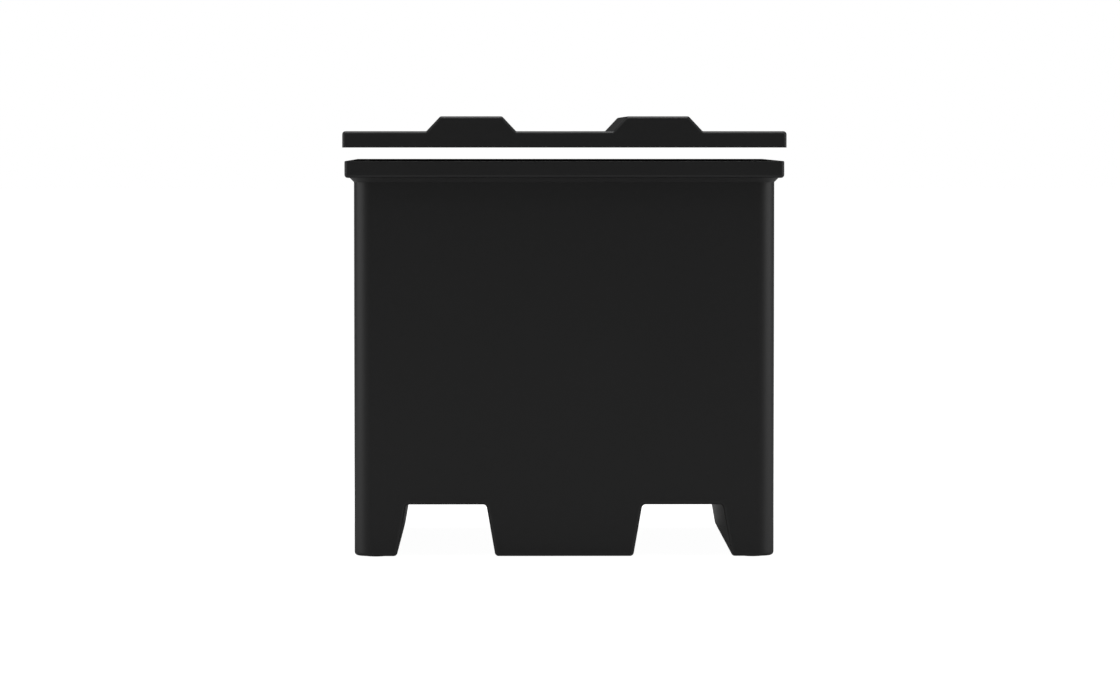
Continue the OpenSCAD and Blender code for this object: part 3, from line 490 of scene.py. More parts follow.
def copies_tree():
    """Copies an object to every point of a mesh."""
    inputs = (("Copied", "NodeSocketObject"), ("Material", "NodeSocketMaterial"))
    tree, given, ends, keys = new_tree("copies on points", inputs)
    source = node_of(tree, "GeometryNodeObjectInfo", {"Object": given.outputs["Copied"]})
    copies = node_of(tree, "GeometryNodeInstanceOnPoints", {
        "Points": given.outputs["Geometry"], "Instance": source.outputs["Geometry"]})
    close_tree(tree, ends, copies.outputs["Instances"], given)
    return tree, keys


def ticks_tree():
    """Bars that stand on part of a circle and point at its middle, in the XY plane."""
    inputs = (("Count", "NodeSocketInt"), ("Radius", "NodeSocketFloat"),
              ("Bar", "NodeSocketVector"), ("Start", "NodeSocketFloat"),
              ("Sweep", "NodeSocketFloat"), ("Material", "NodeSocketMaterial"))
    tree, given, ends, keys = new_tree("ticks on an arc", inputs)
    line = node_of(tree, "GeometryNodeCurveArc", {
        "Resolution": given.outputs["Count"], "Radius": given.outputs["Radius"],
        "Start Angle": given.outputs["Start"], "Sweep Angle": given.outputs["Sweep"]})
    points = node_of(tree, "GeometryNodeCurveToPoints", {"Curve": line.outputs["Curve"]},
                     mode="EVALUATED")
    bar = node_of(tree, "GeometryNodeMeshCube", {"Size": given.outputs["Bar"]})
    spot = node_of(tree, "GeometryNodeInputPosition")
    facing = node_of(tree, "FunctionNodeAlignRotationToVector", {
        "Vector": spot.outputs["Position"]}, axis="X", pivot_axis="Z")
    copies = node_of(tree, "GeometryNodeInstanceOnPoints", {
        "Points": points.outputs["Points"], "Instance": bar.outputs["Mesh"],
        "Rotation": facing.outputs["Rotation"]})
    close_tree(tree, ends, copies.outputs["Instances"], given)
    return tree, keys


def run_tree(name, made, values, points=()):
    """A plain object from a node tree, its inputs and the points that it starts from."""
    tree, keys = made
    mesh = bpy.data.meshes.new(name)
    mesh.from_pydata([tuple(p) for p in points], [], [])
    obj = add_object(name, mesh)
    step = obj.modifiers.new("nodes", "NODES")
    step.node_group = tree
    for label, value in values.items():
        step[keys[label]] = value
    return settle(obj)


def copies(name, copied, points, material):
    """One object that holds a copy of another at each point. The copied object is removed."""
    obj = run_tree(name, copies_tree(), {"Copied": copied, "Material": material}, points)
    bpy.data.objects.remove(copied)
    return obj


# ---------- Tub ----------

def tub_skin(s, low, high):
    """The tub's skin, from its underside up its walls, over the rim and down to its floor."""
    rim_w, rim_d = high.x, high.y
    body_w, body_d = rim_w - s.overhang, rim_d - s.overhang
    in_w, in_d, in_r = body_w - s.wall, body_d - s.wall, s.corner - s.wall
    rim_low, floor_top = high.z - s.rim_height, low.z + s.skid_height + s.floor
    under, brim, lip, mouth, well = 4.0 * MM, 3.0 * MM, 1.0 * MM, 1.5 * MM, 7.0 * MM
    rings = [rounded_ring(body_w - i, body_d - i, s.corner - i, low.z + h)
             for i, h in quarter(s.edge)]
    for i, h in reversed(quarter(under)):
        out = under - i
        rings.append(rounded_ring(body_w + i, body_d + i, s.corner + i, rim_low - out))
    for i, h in quarter(brim):
        r = max(s.rim_corner - i, LEAST_CORNER)
        rings.append(rounded_ring(rim_w - i, rim_d - i, r, rim_low + h))
    for i, h in reversed(quarter(lip)):
        rings.append(rounded_ring(rim_w - i, rim_d - i, s.rim_corner - i, high.z - h))
    for i, h in quarter(mouth):
        rings.append(rounded_ring(in_w + i, in_d + i, in_r + i, high.z - h))
    for i, h in reversed(quarter(well)):
        rings.append(rounded_ring(in_w - i, in_d - i, in_r - i, floor_top + h))
    return loft("tub_shell", rings)


def tunnel_outline(s, z0, d, steps=5):
    """Half outline of a tunnel from its middle, grown by d into the plastic, as a closed ring."""
    ceiling = z0 + s.skid_height
    half = tunnel_half(s)
    slope = s.lean / s.skid_height
    k, tilt = math.hypot(1, slope), math.degrees(math.atan(slope))
    foot, top = s.edge + 0.1 * MM, 3.5 * MM
    foot_middle = (half - slope * foot + foot * k, z0 + foot)
    top_middle = (half - slope * (s.skid_height - top) - top * k, ceiling - top)
    right = [Vector((foot_middle[0], z0 - 6 * MM))]
    right += arc(foot_middle, foot - d, 270, 180 + tilt, steps)
    right += arc(top_middle, top + d, tilt, 90, steps)
    left = [Vector((-p.x, p.y)) for p in reversed(right)]
    return right + left


def tunnel_half(s):
    """Half the width of a tunnel at its bottom, from the tub's box."""
    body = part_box("tank")[1].x - s.overhang
    return (body - s.outer_skid - s.middle_skid / 2) / 2


def tunnel_cutters(s, low, high):
    """The two tunnels, flared where they come out of the front and the back."""
    body_d = high.y - s.overhang
    middle = s.middle_skid / 2 + tunnel_half(s)
    for side in (-1, 1):
        rings = []
        edge = [(s.edge, -10 * MM)] + quarter(s.edge)
        ends = [(d, -body_d + h) for d, h in edge]
        ends += [(d, body_d - h) for d, h in reversed(edge)]
        for d, y in ends:
            outline = [Vector((p.x + side * middle, p.y)) for p in tunnel_outline(s, low.z, d)]
            rings.append(along_y(outline, y))
        yield loft("tunnel", rings)


def skid_cutters(s, low, high):
    """The drive bay in the middle skid, the seat of its panel and the pockets of the outer skids."""
    body_w, body_d = high.x - s.overhang, high.y - s.overhang
    z0, z1 = low.z - 1 * MM, low.z + s.skid_height
    half, lean = s.middle_skid / 2 - s.wall, s.lean
    bay = [Vector(p) for p in ((-half, z0), (half, z0), (half + lean, z1), (-half - lean, z1))]
    yield prism_y("bay", bay, -body_d + s.wall, body_d - s.back_wall)
    gap = 0.3 * MM
    panel_low, panel_high = grown(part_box("control_panel"), gap)
    panel_low.y += gap
    panel_high.y = body_d + 5 * MM
    yield block("panel_seat", panel_low, panel_high)
    across, up = 10 * MM, 4 * MM
    inside = body_d - s.back_wall - 1 * MM
    yield block("panel_window", (panel_low.x + across, inside, panel_low.z + up),
                (panel_high.x - across, panel_high.y - 1 * MM, panel_high.z - up))
    inner = body_w - s.outer_skid + s.wall
    outline = ((inner, z0), (body_w - s.wall, z0), (body_w - s.wall, z1), (inner - lean, z1))
    end, web = body_d - s.wall - s.corner / 2, body_d / 3
    rows = ((-end, -web - s.web / 2), (-web + s.web / 2, web - s.web / 2), (web + s.web / 2, end))
    for side in (-1, 1):
        for start, stop in rows:
            points = [Vector((side * x, z)) for x, z in outline]
            yield prism_y("pocket", points[::side], start, stop)


def tub_additions(s, low, high):
    """Pads under the basket, pillars under the guard, and the bosses under the floor."""
    floor_top = low.z + s.skid_height + s.floor
    ceiling = low.z + s.skid_height
    sink = 1 * MM
    pad_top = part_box("basket")[0].z
    inner_w = high.x - s.overhang - s.wall
    inner_d = high.y - s.overhang - s.wall
    for sx in (-1, 1):
        for sy in (-1, 1):
            x0, x1 = inner_w - 28 * MM, inner_w + sink
            y0 = sy * (inner_d - 45 * MM)
            yield block("pad", (min(sx * x0, sx * x1), y0 - 12 * MM, floor_top - 3 * MM),
                        (max(sx * x0, sx * x1), y0 + 12 * MM, pad_top), 0.9 * MM)
    guard_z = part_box("impeller_guard")[0].z
    for x, y in corners_of("guard_screws", HEAD_RADIUS):
        yield lathe("pillar", [(7 * MM, -sink), (5.6 * MM, 1 * MM), (5 * MM, 3 * MM),
                               (5 * MM, guard_z - floor_top)], (x, y, floor_top), steps=40)
    yield lathe("boss", [(9 * MM, -sink), (7.6 * MM, 0.8 * MM), (7 * MM, 2 * MM),
                         (7 * MM, 4 * MM)], (0, 0, floor_top), steps=48)
    for x, y in corners_of("foot_pads", FOOT_RADIUS):
        yield cylinder("foot_boss", (x, y, low.z + 0.1 * MM), 12 * MM, s.skid_height)
    hangers = (("bracket_screws", 4 * MM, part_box("motor_bracket")[1].z),
               ("board_screws", 3.5 * MM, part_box("board_screws")[0].z + 3 * MM),
               ("cover_screws", 4 * MM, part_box("base_cover")[1].z))
    for node, radius, z in hangers:
        spots = corners_of(node, HEAD_RADIUS)
        if node == "cover_screws":
            spots += [(x, 0) for x in {x for x, y in spots}]
        for x, y in spots:
            yield cylinder("hanger", (x, y, z), radius, ceiling - z + sink)


def make_tub(s, looks):
    """The moulded tub with its skids, its rim, its tunnels and everything cut into it."""
    low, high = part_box("skid_base")[0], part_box("tank")[1]
    tub = tub_skin(s, low, high)
    for cutter in (*skid_cutters(s, low, high), *tunnel_cutters(s, low, high)):
        carve(tub, cutter)
    carve(tub, list(tub_additions(s, low, high)), "UNION")
    drain_low, drain_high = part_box("drain_outer_seal")
    middle = (drain_low + drain_high) / 2
    holes = [cylinder("hole", (middle.x, middle.y - 12 * MM, middle.z), 10.3 * MM, 14 * MM, "Y")]
    for x, y in corners_of("foot_pads", FOOT_RADIUS):
        radius = FOOT_RADIUS + 0.05 * MM
        holes.append(cylinder("pad_seat", (x, y, low.z - MM), radius, 3 * MM))
    carve(tub, holes)
    place(tub, "tank", looks["tub"], ["tank", "skid_base"])


# ---------- Lid ----------

def lid_outline(s, low, high):
    """The lid's front outline without its lower edge, from left to right."""
    top = low.z + s.side
    points, radii = [(low.x, low.z), (low.x, top)], [s.edge]
    for side in (-1, 1):
        middle, half = side * s.rib_pitch / 2, s.rib_foot / 2
        points += [(middle - half, top), (middle - half + s.rib_lean, high.z),
                   (middle + half - s.rib_lean, high.z), (middle + half, top)]
        radii += [2.0 * MM, s.edge, s.edge, 2.0 * MM]
    points += [(high.x, top), (high.x, low.z)]
    radii.append(s.edge)
    return filleted([Vector(p) for p in points], radii)


def make_lid(s, looks):
    """The moulded lid, hollow under its top and its two ribs."""
    low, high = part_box("lid")
    outline = lid_outline(s, low, high)
    normals = outline_normals(outline)
    for n in (normals[0], normals[-1]):
        n.y = 0
        n.normalize()
    edge = quarter(s.edge)
    ends = [(d, low.y + h) for d, h in edge]
    ends += [(d, high.y - h) for d, h in reversed(edge)]
    lid = loft("lid_shell", [
        along_y([p - n * inset for p, n in zip(outline, normals)], y) for inset, y in ends])
    ceiling = low.z + s.side - s.top
    half_w, half_d = high.x - s.lip, high.y - s.lip
    under = [rounded_ring(half_w, half_d, s.edge - s.lip, low.z - MM)]
    for i, h in reversed(quarter(1.0 * MM)):
        corner = max(s.edge - s.lip - i, LEAST_CORNER)
        under.append(rounded_ring(half_w - i, half_d - i, corner, ceiling - h))
    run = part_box("lid_seal")[1].y - 12 * MM
    slope = s.rib_lean / (high.z - low.z - s.side)
    shift = s.rib_shell * math.hypot(1, slope)
    rise = high.z - s.rib_shell
    tools = [loft("recess", under)]
    for side in (-1, 1):
        middle = side * s.rib_pitch / 2
        foot = s.rib_foot / 2 - shift + slope * (s.top + MM)
        head = s.rib_foot / 2 - shift - slope * (rise - low.z - s.side)
        points = [(middle - foot, ceiling - MM), (middle - head, rise), (middle + head, rise),
                  (middle + foot, ceiling - MM)]
        hollow = filleted([Vector(p) for p in points], [2 * MM, 2 * MM])
        tools.append(prism_y("rib_hollow", hollow, -run, run))
    for tool in tools:
        carve(lid, tool)
    place(lid, "lid", looks["tub"], ["lid"])


# ---------- Basket ----------

AXES_FROM_Y = {"Y": Matrix.Identity(4), "X": Matrix.Rotation(math.radians(90), 4, "Z"),
               "Z": Matrix.Rotation(math.radians(90), 4, "X")}


def slot_cutter(name, size, radius, axis):
    """A bar with round ends across its length, centred on the origin. axis is the way it cuts."""
    width, height, run = size
    half = height / 2 - radius
    points = arc((0, half), radius, 0, 180, 8) + arc((0, -half), radius, 180, 360, 8)
    obj = prism_y(name, points, -run / 2, run / 2)
    obj.data.transform(AXES_FROM_Y[axis])
    return obj


def make_basket(s, looks):
    """The slotted basket, with the lugs that its bails turn in."""
    low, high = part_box("basket")
    flange_w, flange_t, corner, floor = 5 * MM, 3 * MM, 14 * MM, 3 * MM
    top = low.z + 100 * MM
    w, d = high.x - flange_w, high.y - flange_w
    wall = s.basket_wall
    rings = [rounded_ring(w - i, d - i, corner - i, low.z + h, 10) for i, h in quarter(2.5 * MM, 4)]
    rings.append(rounded_ring(w, d, corner, top - flange_t, 10))
    rings += [rounded_ring(w + flange_w - i, d + flange_w - i, corner + flange_w - i,
                           top - flange_t + h, 10) for i, h in quarter(1.2 * MM, 3)]
    rings += [rounded_ring(w + flange_w - i, d + flange_w - i, corner + flange_w - i,
                           top - h, 10) for i, h in reversed(quarter(1.2 * MM, 3))]
    rings += [rounded_ring(w - wall + i, d - wall + i, corner - wall + i, top - h, 10)
              for i, h in quarter(0.8 * MM, 3)]
    rings += [rounded_ring(w - wall - i, d - wall - i, corner - wall - i, low.z + floor + h, 10)
              for i, h in reversed(quarter(2.5 * MM, 4))]
    basket = loft("basket_shell", rings)
    pitch = s.slot + s.land
    across = int((2 * w - 2 * corner - s.slot) / pitch)
    along = int((2 * d - 2 * corner - s.slot) / pitch)
    slot_low, slot_high = low.z + floor + 8 * MM, top - flange_t - 10 * MM
    middle, tall = (slot_low + slot_high) / 2, slot_high - slot_low
    radius = s.slot / 2
    xs = [(i - across / 2) * pitch for i in range(across + 1)]
    ys = [(i - along / 2) * pitch for i in range(along + 1)]
    material = looks["basket_plastic"]
    carve(basket, copies("front_slots", slot_cutter("slot", (s.slot, tall, 4 * d), radius, "Y"),
                         [(x, 0, middle) for x in xs], material))
    carve(basket, copies("side_slots", slot_cutter("slot", (s.slot, tall, 4 * w), radius, "X"),
                         [(0, y, middle) for y in ys], material))
    rows = 3
    row = (2 * d - 2 * corner) / rows
    cut = slot_cutter("slot", (s.slot, row - 12 * MM, 4 * floor), radius, "Z")
    spots = [(x, (j - (rows - 1) / 2) * row, low.z + floor / 2) for x in xs for j in range(rows)]
    carve(basket, copies("floor_slots", cut, spots, material))
    lugs, holes = [], []
    lug_r, lug_t = s.wire + 3 * MM, 5 * MM
    for bail, side in (("left_bail", -1), ("right_bail", 1)):
        bail_low, bail_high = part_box(bail)
        pivot_z = (bail_low.z + bail_high.z) / 2
        pivot_x = (bail_high.x if side > 0 else bail_low.x) - side * s.wire
        outer = bail_high.y - 2 * MM
        outline = [Vector((pivot_x + lug_r, top - flange_t))]
        outline += arc((pivot_x, pivot_z), lug_r, 0, 180, 14)
        outline += [Vector((pivot_x - lug_r, top - flange_t))]
        for end in (-1, 1):
            y0 = end * outer - (lug_t if end > 0 else 0)
            lugs.append(prism_y("lug", outline, y0, y0 + lug_t))
        holes.append(cylinder("pivot", (pivot_x, -d, pivot_z), s.wire + 0.06 * MM, 2 * d, "Y", 32))
    carve(basket, lugs, "UNION")
    carve(basket, holes)
    place(basket, "basket", material, ["basket"])


def swept_tube(name, path, radius, sides=20):
    """A round tube along points that turn in one level plane, with its end edges broken."""
    up, edge = Vector((0, 0, 1)), radius * 0.2
    first, last = (path[1] - path[0]).normalized(), (path[-1] - path[-2]).normalized()
    spots = [(path[0], radius - edge), (path[0] + first * edge, radius)]
    spots += [(p, radius) for p in path[1:-1]]
    spots += [(path[-1] - last * edge, radius), (path[-1], radius - edge)]
    rings = []
    for i, (spot, r) in enumerate(spots):
        ahead, behind = spots[min(i + 1, len(spots) - 1)][0], spots[max(i - 1, 0)][0]
        along = (ahead - behind).normalized()
        side = Vector((along.y, -along.x, 0))
        turns = (2 * math.pi * k / sides for k in range(sides))
        rings.append([spot + r * (math.cos(a) * side + math.sin(a) * up) for a in turns])
    return loft(name, rings)


def make_bails(s, looks):
    """The two wire bails and their ribbed grips."""
    for name, side in (("left", -1), ("right", 1)):
        low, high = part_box(name + "_bail")
        z = (low.z + high.z) / 2
        pivot_x = high.x - s.wire if side > 0 else low.x + s.wire
        reach_x = low.x + s.wire if side > 0 else high.x - s.wire
        arm_y, end_y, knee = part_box(name + "_grip")[1].y + 18 * MM, high.y, 4 * MM
        turn = s.bend
        path = [Vector((pivot_x, end_y, z))]
        path += [Vector((pivot_x - side * p.x, arm_y + p.y, z))
                 for p in arc((knee, knee), knee, 180, 270, 6)]
        path += [Vector((reach_x + side * (turn + p.x), arm_y - turn + p.y, z))
                 for p in arc((0, 0), turn, 90, 180, 8)]
        path += [Vector((p.x, -p.y, p.z)) for p in reversed(path)]
        bail = swept_tube(name + "_bail_wire", path, s.wire)
        place(bail, name + "_bail", looks["wire"], [name + "_bail"])
        grip_low, grip_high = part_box(name + "_grip")
        outer, run = (grip_high.z - grip_low.z) / 2, grip_high.y - grip_low.y
        inner = s.wire + 0.05 * MM
        ribs = 17
        profile = [(inner, 0), (outer - 0.8 * MM, 0), (outer, 0.8 * MM)]
        for i in range(ribs):
            y = 4 * MM + (run - 8 * MM) * i / (ribs - 1)
            profile += [(outer, y - 1.4 * MM), (outer - 0.7 * MM, y - 0.8 * MM),
                        (outer - 0.7 * MM, y + 0.8 * MM), (outer, y + 1.4 * MM)]
        profile += [(outer, run - 0.8 * MM), (outer - 0.8 * MM, run), (inner, run)]
        middle = (grip_low + grip_high) / 2
        grip = lathe(name + "_bail_grip", profile, (middle.x, grip_low.y, middle.z), "Y", 40, True)
        place(grip, name + "_bail", looks["grip"], [name + "_grip"])


# ---------- Controls ----------

def make_knob(s, looks):
    """The fluted timer knob, its pointer and the ticks round it."""
    low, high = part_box("timer_knob")
    middle = (low + high) / 2
    r, h = (high.x - low.x) / 2, high.y - low.y
    nut, bore, cup = 7.9 * MM, 3.05 * MM, 5.4 * MM
    profile = [(nut, 0), (r, 0), (r, 1.2 * MM), (r * 0.93, 2.0 * MM), (r * 0.9, h - 1.6 * MM)]
    profile += [(r * 0.9 - i, h - j) for j, i in quarter(1.4 * MM, 4)]
    profile += [(4 * MM, h - 0.5 * MM), (0.0, h - 0.5 * MM)]
    profile += [(0.0, h - 2.4 * MM), (bore, h - 2.4 * MM), (bore, cup), (nut, cup)]

    def fluted(radius, along, angle):
        if radius > r * 0.8 and along > 1.9 * MM:
            return radius - 0.35 * MM * (1 + math.cos(angle * s.flutes)) / 2
        return radius

    knob = lathe("timer_knob_cap", profile, (middle.x, low.y, middle.z), "Y", 8 * s.flutes, True,
                 fluted)
    place(knob, "timer_knob", looks["knob"], ["timer_knob"])
    pointer = block("timer_pointer", (middle.x - 0.6 * MM, high.y - 0.5 * MM, middle.z + 3.5 * MM),
                    (middle.x + 0.6 * MM, high.y - 0.05 * MM, high.z - 2.4 * MM), 0.15 * MM, 2)
    place(pointer, "timer_knob", looks["mark"])
    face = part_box("control_panel")[1].y
    ticks = run_tree("timer_ticks", ticks_tree(), {
        "Count": s.ticks, "Radius": r + 2.6 * MM, "Bar": (1.8 * MM, 0.45 * MM, 0.16 * MM),
        "Start": math.radians(-10), "Sweep": math.radians(280), "Material": looks["mark"]})
    ticks.data.transform(Matrix.Translation((middle.x, face, middle.z)) @ AXES["Y"].to_4x4())
    place(ticks, "tank", looks["mark"])


def make_button(looks):
    """The power button and the mark on it."""
    low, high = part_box("power_button")
    middle = (low + high) / 2
    h, r = high.y - low.y, 8 * MM
    flange = (high.x - low.x) / 2
    profile = [(0, 0), (r, 0), (r, 2.5 * MM), (flange, 2.5 * MM), (flange, 4.5 * MM), (r, 4.5 * MM)]
    profile += [(r - i, h - j) for j, i in quarter(0.9 * MM, 5)]
    profile += [(6.0 * MM, h), (5.4 * MM, h - 0.5 * MM), (3 * MM, h - 0.8 * MM), (0, h - 0.9 * MM)]
    button = lathe("power_button_cap", profile, (middle.x, low.y, middle.z), "Y", 72)
    place(button, "power_button", looks["button"], ["power_button"])
    face = high.y - 0.78 * MM
    ring = [(2.0 * MM, 0), (2.4 * MM, 0), (2.4 * MM, 0.12 * MM), (2.0 * MM, 0.12 * MM)]
    mark = lathe("power_mark", ring, (middle.x, face, middle.z), "Y", 48, True)
    place(mark, "power_button", looks["mark"])


def make_panel(looks):
    """The power inlet, the status light and the ring round the power button."""
    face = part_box("control_panel")[1].y
    inlet_low, inlet_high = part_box("dc_inlet")
    middle = (inlet_low + inlet_high) / 2
    r, t = (inlet_high.x - inlet_low.x) / 2, 1.5 * MM
    profile = [(2.85 * MM, -8 * MM), (2.85 * MM, t - 0.5 * MM), (3.4 * MM, t)]
    profile += [(r - i, t - j) for j, i in quarter(0.6 * MM, 3)]
    profile += [(r, 0), (5 * MM, 0), (5 * MM, -11 * MM)]
    profile += [(1.05 * MM, -11 * MM), (1.05 * MM, -8 * MM)]
    inlet = lathe("power_inlet_body", profile, (middle.x, face, middle.z), "Y", 56, True)
    place(inlet, "tank", looks["inner_plastic"], ["dc_inlet"])
    light_low, light_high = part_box("status_light")
    spot, radius = (light_low + light_high) / 2, (light_high.x - light_low.x) / 2
    run = light_high.y - light_low.y
    dome = [(0, 0), (radius, 0)] + [(radius - i, run - j) for j, i in quarter(0.8 * MM, 4)]
    light = lathe("status_lens", dome + [(0, run)], (spot.x, light_low.y, spot.z), "Y", 32)
    place(light, "tank", looks["lens"], ["status_light"])
    button_low, button_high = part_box("power_button")
    centre = (button_low + button_high) / 2
    bezel = [(8.35 * MM, 0), (10 * MM, 0), (9.8 * MM, 0.7 * MM), (9.3 * MM, 1.0 * MM),
             (8.7 * MM, 1.0 * MM), (8.35 * MM, 0.6 * MM)]
    ring = lathe("power_bezel", bezel, (centre.x, face, centre.z), "Y", 72, True)
    place(ring, "tank", looks["inner_plastic"])


# ---------- Drain ----------

def hexagon(name, centre, radius, height, axis, bore):
    """A hexagon nut with its corners turned off at both ends."""
    flat = radius * math.cos(math.pi / 6)
    chamfer = (radius - flat) * 0.6
    profile = [(bore, 0), (flat, 0), (radius, chamfer), (radius, height - chamfer),
               (flat, height), (bore, height)]

    def six_sided(r, along, angle):
        return min(flat / math.cos(angle % (math.pi / 3) - math.pi / 6), r) if r >= flat else r

    return lathe(name, profile, centre, axis, 48, True, six_sided)


def threaded(radius, start, end, pitch=1.5 * MM, depth=0.45 * MM):
    """A turned profile with thread-like grooves from start to end."""
    points = [(radius - depth, start)]
    count = int((end - start) / pitch)
    for i in range(count):
        y = start + i * pitch
        points += [(radius, y + pitch * 0.35), (radius, y + pitch * 0.55)]
        points.append((radius - depth, y + pitch))
    return points


def make_drain(s, looks):
    """The drain valve: its body, its nut, its hose tail and its lever."""
    brass = looks["brass"]
    low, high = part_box("drain_body")
    seal_low, seal_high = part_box("drain_outer_seal")
    ball_low, ball_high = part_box("valve_ball")
    x, z = (seal_low.x + seal_high.x) / 2, (seal_low.z + seal_high.z) / 2
    ball_y = (ball_low.y + ball_high.y) / 2
    flange_y = seal_high.y
    tail, flange, chamber, bore = 10 * MM, 16 * MM, 14 * MM, s.waterway
    ball_room, stem_bore = 9.8 * MM, 3.06 * MM
    end = high.y
    face, mouth, ball = flange_y - low.y, end - low.y, ball_y - low.y
    profile = [(bore, 0)] + threaded(tail, 0, face - 1 * MM)
    profile += [(tail, face), (flange - 0.5 * MM, face), (flange, face + 0.5 * MM)]
    profile += [(flange, face + 3.4 * MM), (flange - 0.6 * MM, face + 4 * MM)]
    profile += [(tail + 1.5 * MM, face + 4 * MM), (chamber - 2.2 * MM, face + 5.2 * MM)]
    profile += [(chamber, face + 8 * MM), (chamber, mouth - 2 * MM)]
    profile += [(chamber - 0.5 * MM, mouth - 1.5 * MM), (chamber - 0.5 * MM, mouth - 0.4 * MM)]
    profile += [(chamber - 0.9 * MM, mouth), (ball_room, mouth), (ball_room, ball - 4 * MM)]
    profile += [(bore, ball - ball_room)]
    body = lathe("drain_valve_body", profile, (x, low.y, z), "Y", 64, True)
    boss_low, boss_high = z + 9.9 * MM, high.z
    boss = [(stem_bore, boss_low), (7.6 * MM, boss_low), (7.6 * MM, z + chamber + 1 * MM)]
    boss += [(7.0 * MM, z + chamber + 2 * MM), (7.0 * MM, boss_high - 0.6 * MM)]
    boss += [(6.4 * MM, boss_high), (5 * MM, boss_high), (5 * MM, boss_high - 3 * MM)]
    boss += [(stem_bore, boss_high - 3 * MM)]
    stem_hole = cylinder("stem_hole", (x, ball_y, boss_low - 2 * MM), stem_bore, 6 * MM)
    carve(body, lathe("stem_boss", boss, (x, ball_y, 0), "Z", 48, True), "UNION")
    carve(body, stem_hole)
    place(body, "tank", brass, ["drain_body"])

    nut_low, nut_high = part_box("drain_nut")
    nut = hexagon("drain_back_nut", (x, nut_low.y, z), (nut_high.x - nut_low.x) / 2,
                  nut_high.y - nut_low.y, "Y", tail + 0.05 * MM)
    place(nut, "tank", brass, ["drain_nut"])

    out_low, out_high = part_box("hose_spigot")
    collar = hexagon("collar", (x, end, z), chamber, 6 * MM, "Y", 7 * MM)
    tube, plug = 8 * MM, 9.75 * MM
    run = out_high.y - out_low.y
    neck = end - out_low.y
    profile = [(bore, 0), (plug, 0), (plug, neck), (tube - 0.2 * MM, neck + 0.2 * MM)]
    profile += [(tube - 0.2 * MM, neck + 6 * MM), (tube, neck + 6.6 * MM)]
    profile += [(tube, run - 2.5 * MM), (tube - 0.9 * MM, run - 0.3 * MM), (tube - 1.2 * MM, run)]
    profile += [(bore + 0.5 * MM, run), (bore, run - 0.6 * MM)]
    spigot = lathe("hose_tail", profile, (x, out_low.y, z), "Y", 56, True)
    carve(spigot, collar, "UNION")
    place(spigot, "tank", brass, ["hose_spigot"])
    make_lever(looks, x, ball_y)


def make_lever(looks, x, y):
    """A pressed lever on the stem, its dipped sleeve and its nut."""
    low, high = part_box("drain_lever")
    hub, half_w, t = x - low.x, 6 * MM, high.z - low.z
    tip, bore = high.x - x, 3.05 * MM
    outline = arc((0, 0), hub, 50, 310, 26) + [Vector((9 * MM, -half_w))]
    outline += arc((tip - half_w, 0), half_w, -90, 90, 12) + [Vector((9 * MM, half_w))]
    bm = bmesh.new()
    lower = [bm.verts.new((p.x + x, p.y + y, low.z)) for p in outline]
    made = bm.faces.new(lower)
    bmesh.ops.triangulate(bm, faces=[made])
    grown_up = bmesh.ops.extrude_face_region(bm, geom=bm.faces[:])
    for v in (g for g in grown_up["geom"] if isinstance(g, bmesh.types.BMVert)):
        v.co.z += t
    lever = object_from("valve_lever", bm)
    bevel = lever.modifiers.new("edges", "BEVEL")
    bevel.width, bevel.segments, bevel.limit_method = 0.5 * MM, 2, "ANGLE"
    bevel.angle_limit = math.radians(50)
    settle(lever)
    carve(lever, cylinder("bore", (x, y, low.z - MM), bore, t + 2 * MM))
    place(lever, "drain_valve", looks["lever_steel"], ["drain_lever"])
    sleeve_low, sleeve_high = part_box("lever_sleeve")
    sleeve = block("valve_lever_sleeve", sleeve_low, sleeve_high, 2.2 * MM, 5)
    inner = block("room", (sleeve_low.x - MM, y - half_w - 0.05 * MM, low.z - 0.05 * MM),
                  (high.x + 0.05 * MM, y + half_w + 0.05 * MM, high.z + 0.05 * MM))
    carve(sleeve, inner)
    place(sleeve, "drain_valve", looks["grip"], ["lever_sleeve"])
    nut_low, nut_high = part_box("lever_nut")
    nut = hexagon("valve_lever_nut", (x, y, nut_low.z), (nut_high.x - nut_low.x) / 2,
                  nut_high.z - nut_low.z, "Z", bore)
    place(nut, "drain_valve", looks["steel"], ["lever_nut"])


# ---------- Screws ----------

def screw_shape(run, axis, flip):
    """A pan-headed socket screw whose head stands on the origin."""
    head, tall, shank, socket = HEAD_RADIUS, HEAD_HEIGHT, 1.5 * MM, 1.25 * MM
    profile = [(0, -run), (shank - 0.4 * MM, -run)]
    profile += threaded(shank, -run, -0.6 * MM, pitch=0.7 * MM, depth=0.2 * MM)
    profile += [(shank, -0.4 * MM), (shank, 0), (head, 0), (head, tall * 0.45)]
    profile += [(head * 0.82, tall * 0.85), (head * 0.6, tall), (socket * 1.1, tall)]
    profile += [(socket, tall - 0.1 * MM), (socket, tall * 0.4), (0, tall * 0.4)]

    def six_sided(radius, along, angle):
        if along > tall * 0.35 and radius <= socket:
            return radius * math.cos(math.pi / 6) / math.cos(angle % (math.pi / 3) - math.pi / 6)
        return radius

    screw = lathe("screw", profile, (0, 0, 0), "Z", 24, False, six_sided)
    turn = AXES[axis].to_4x4()
    if flip:
        turn = turn @ Matrix.Rotation(math.pi, 4, "X")
    screw.data.transform(turn)
    return screw


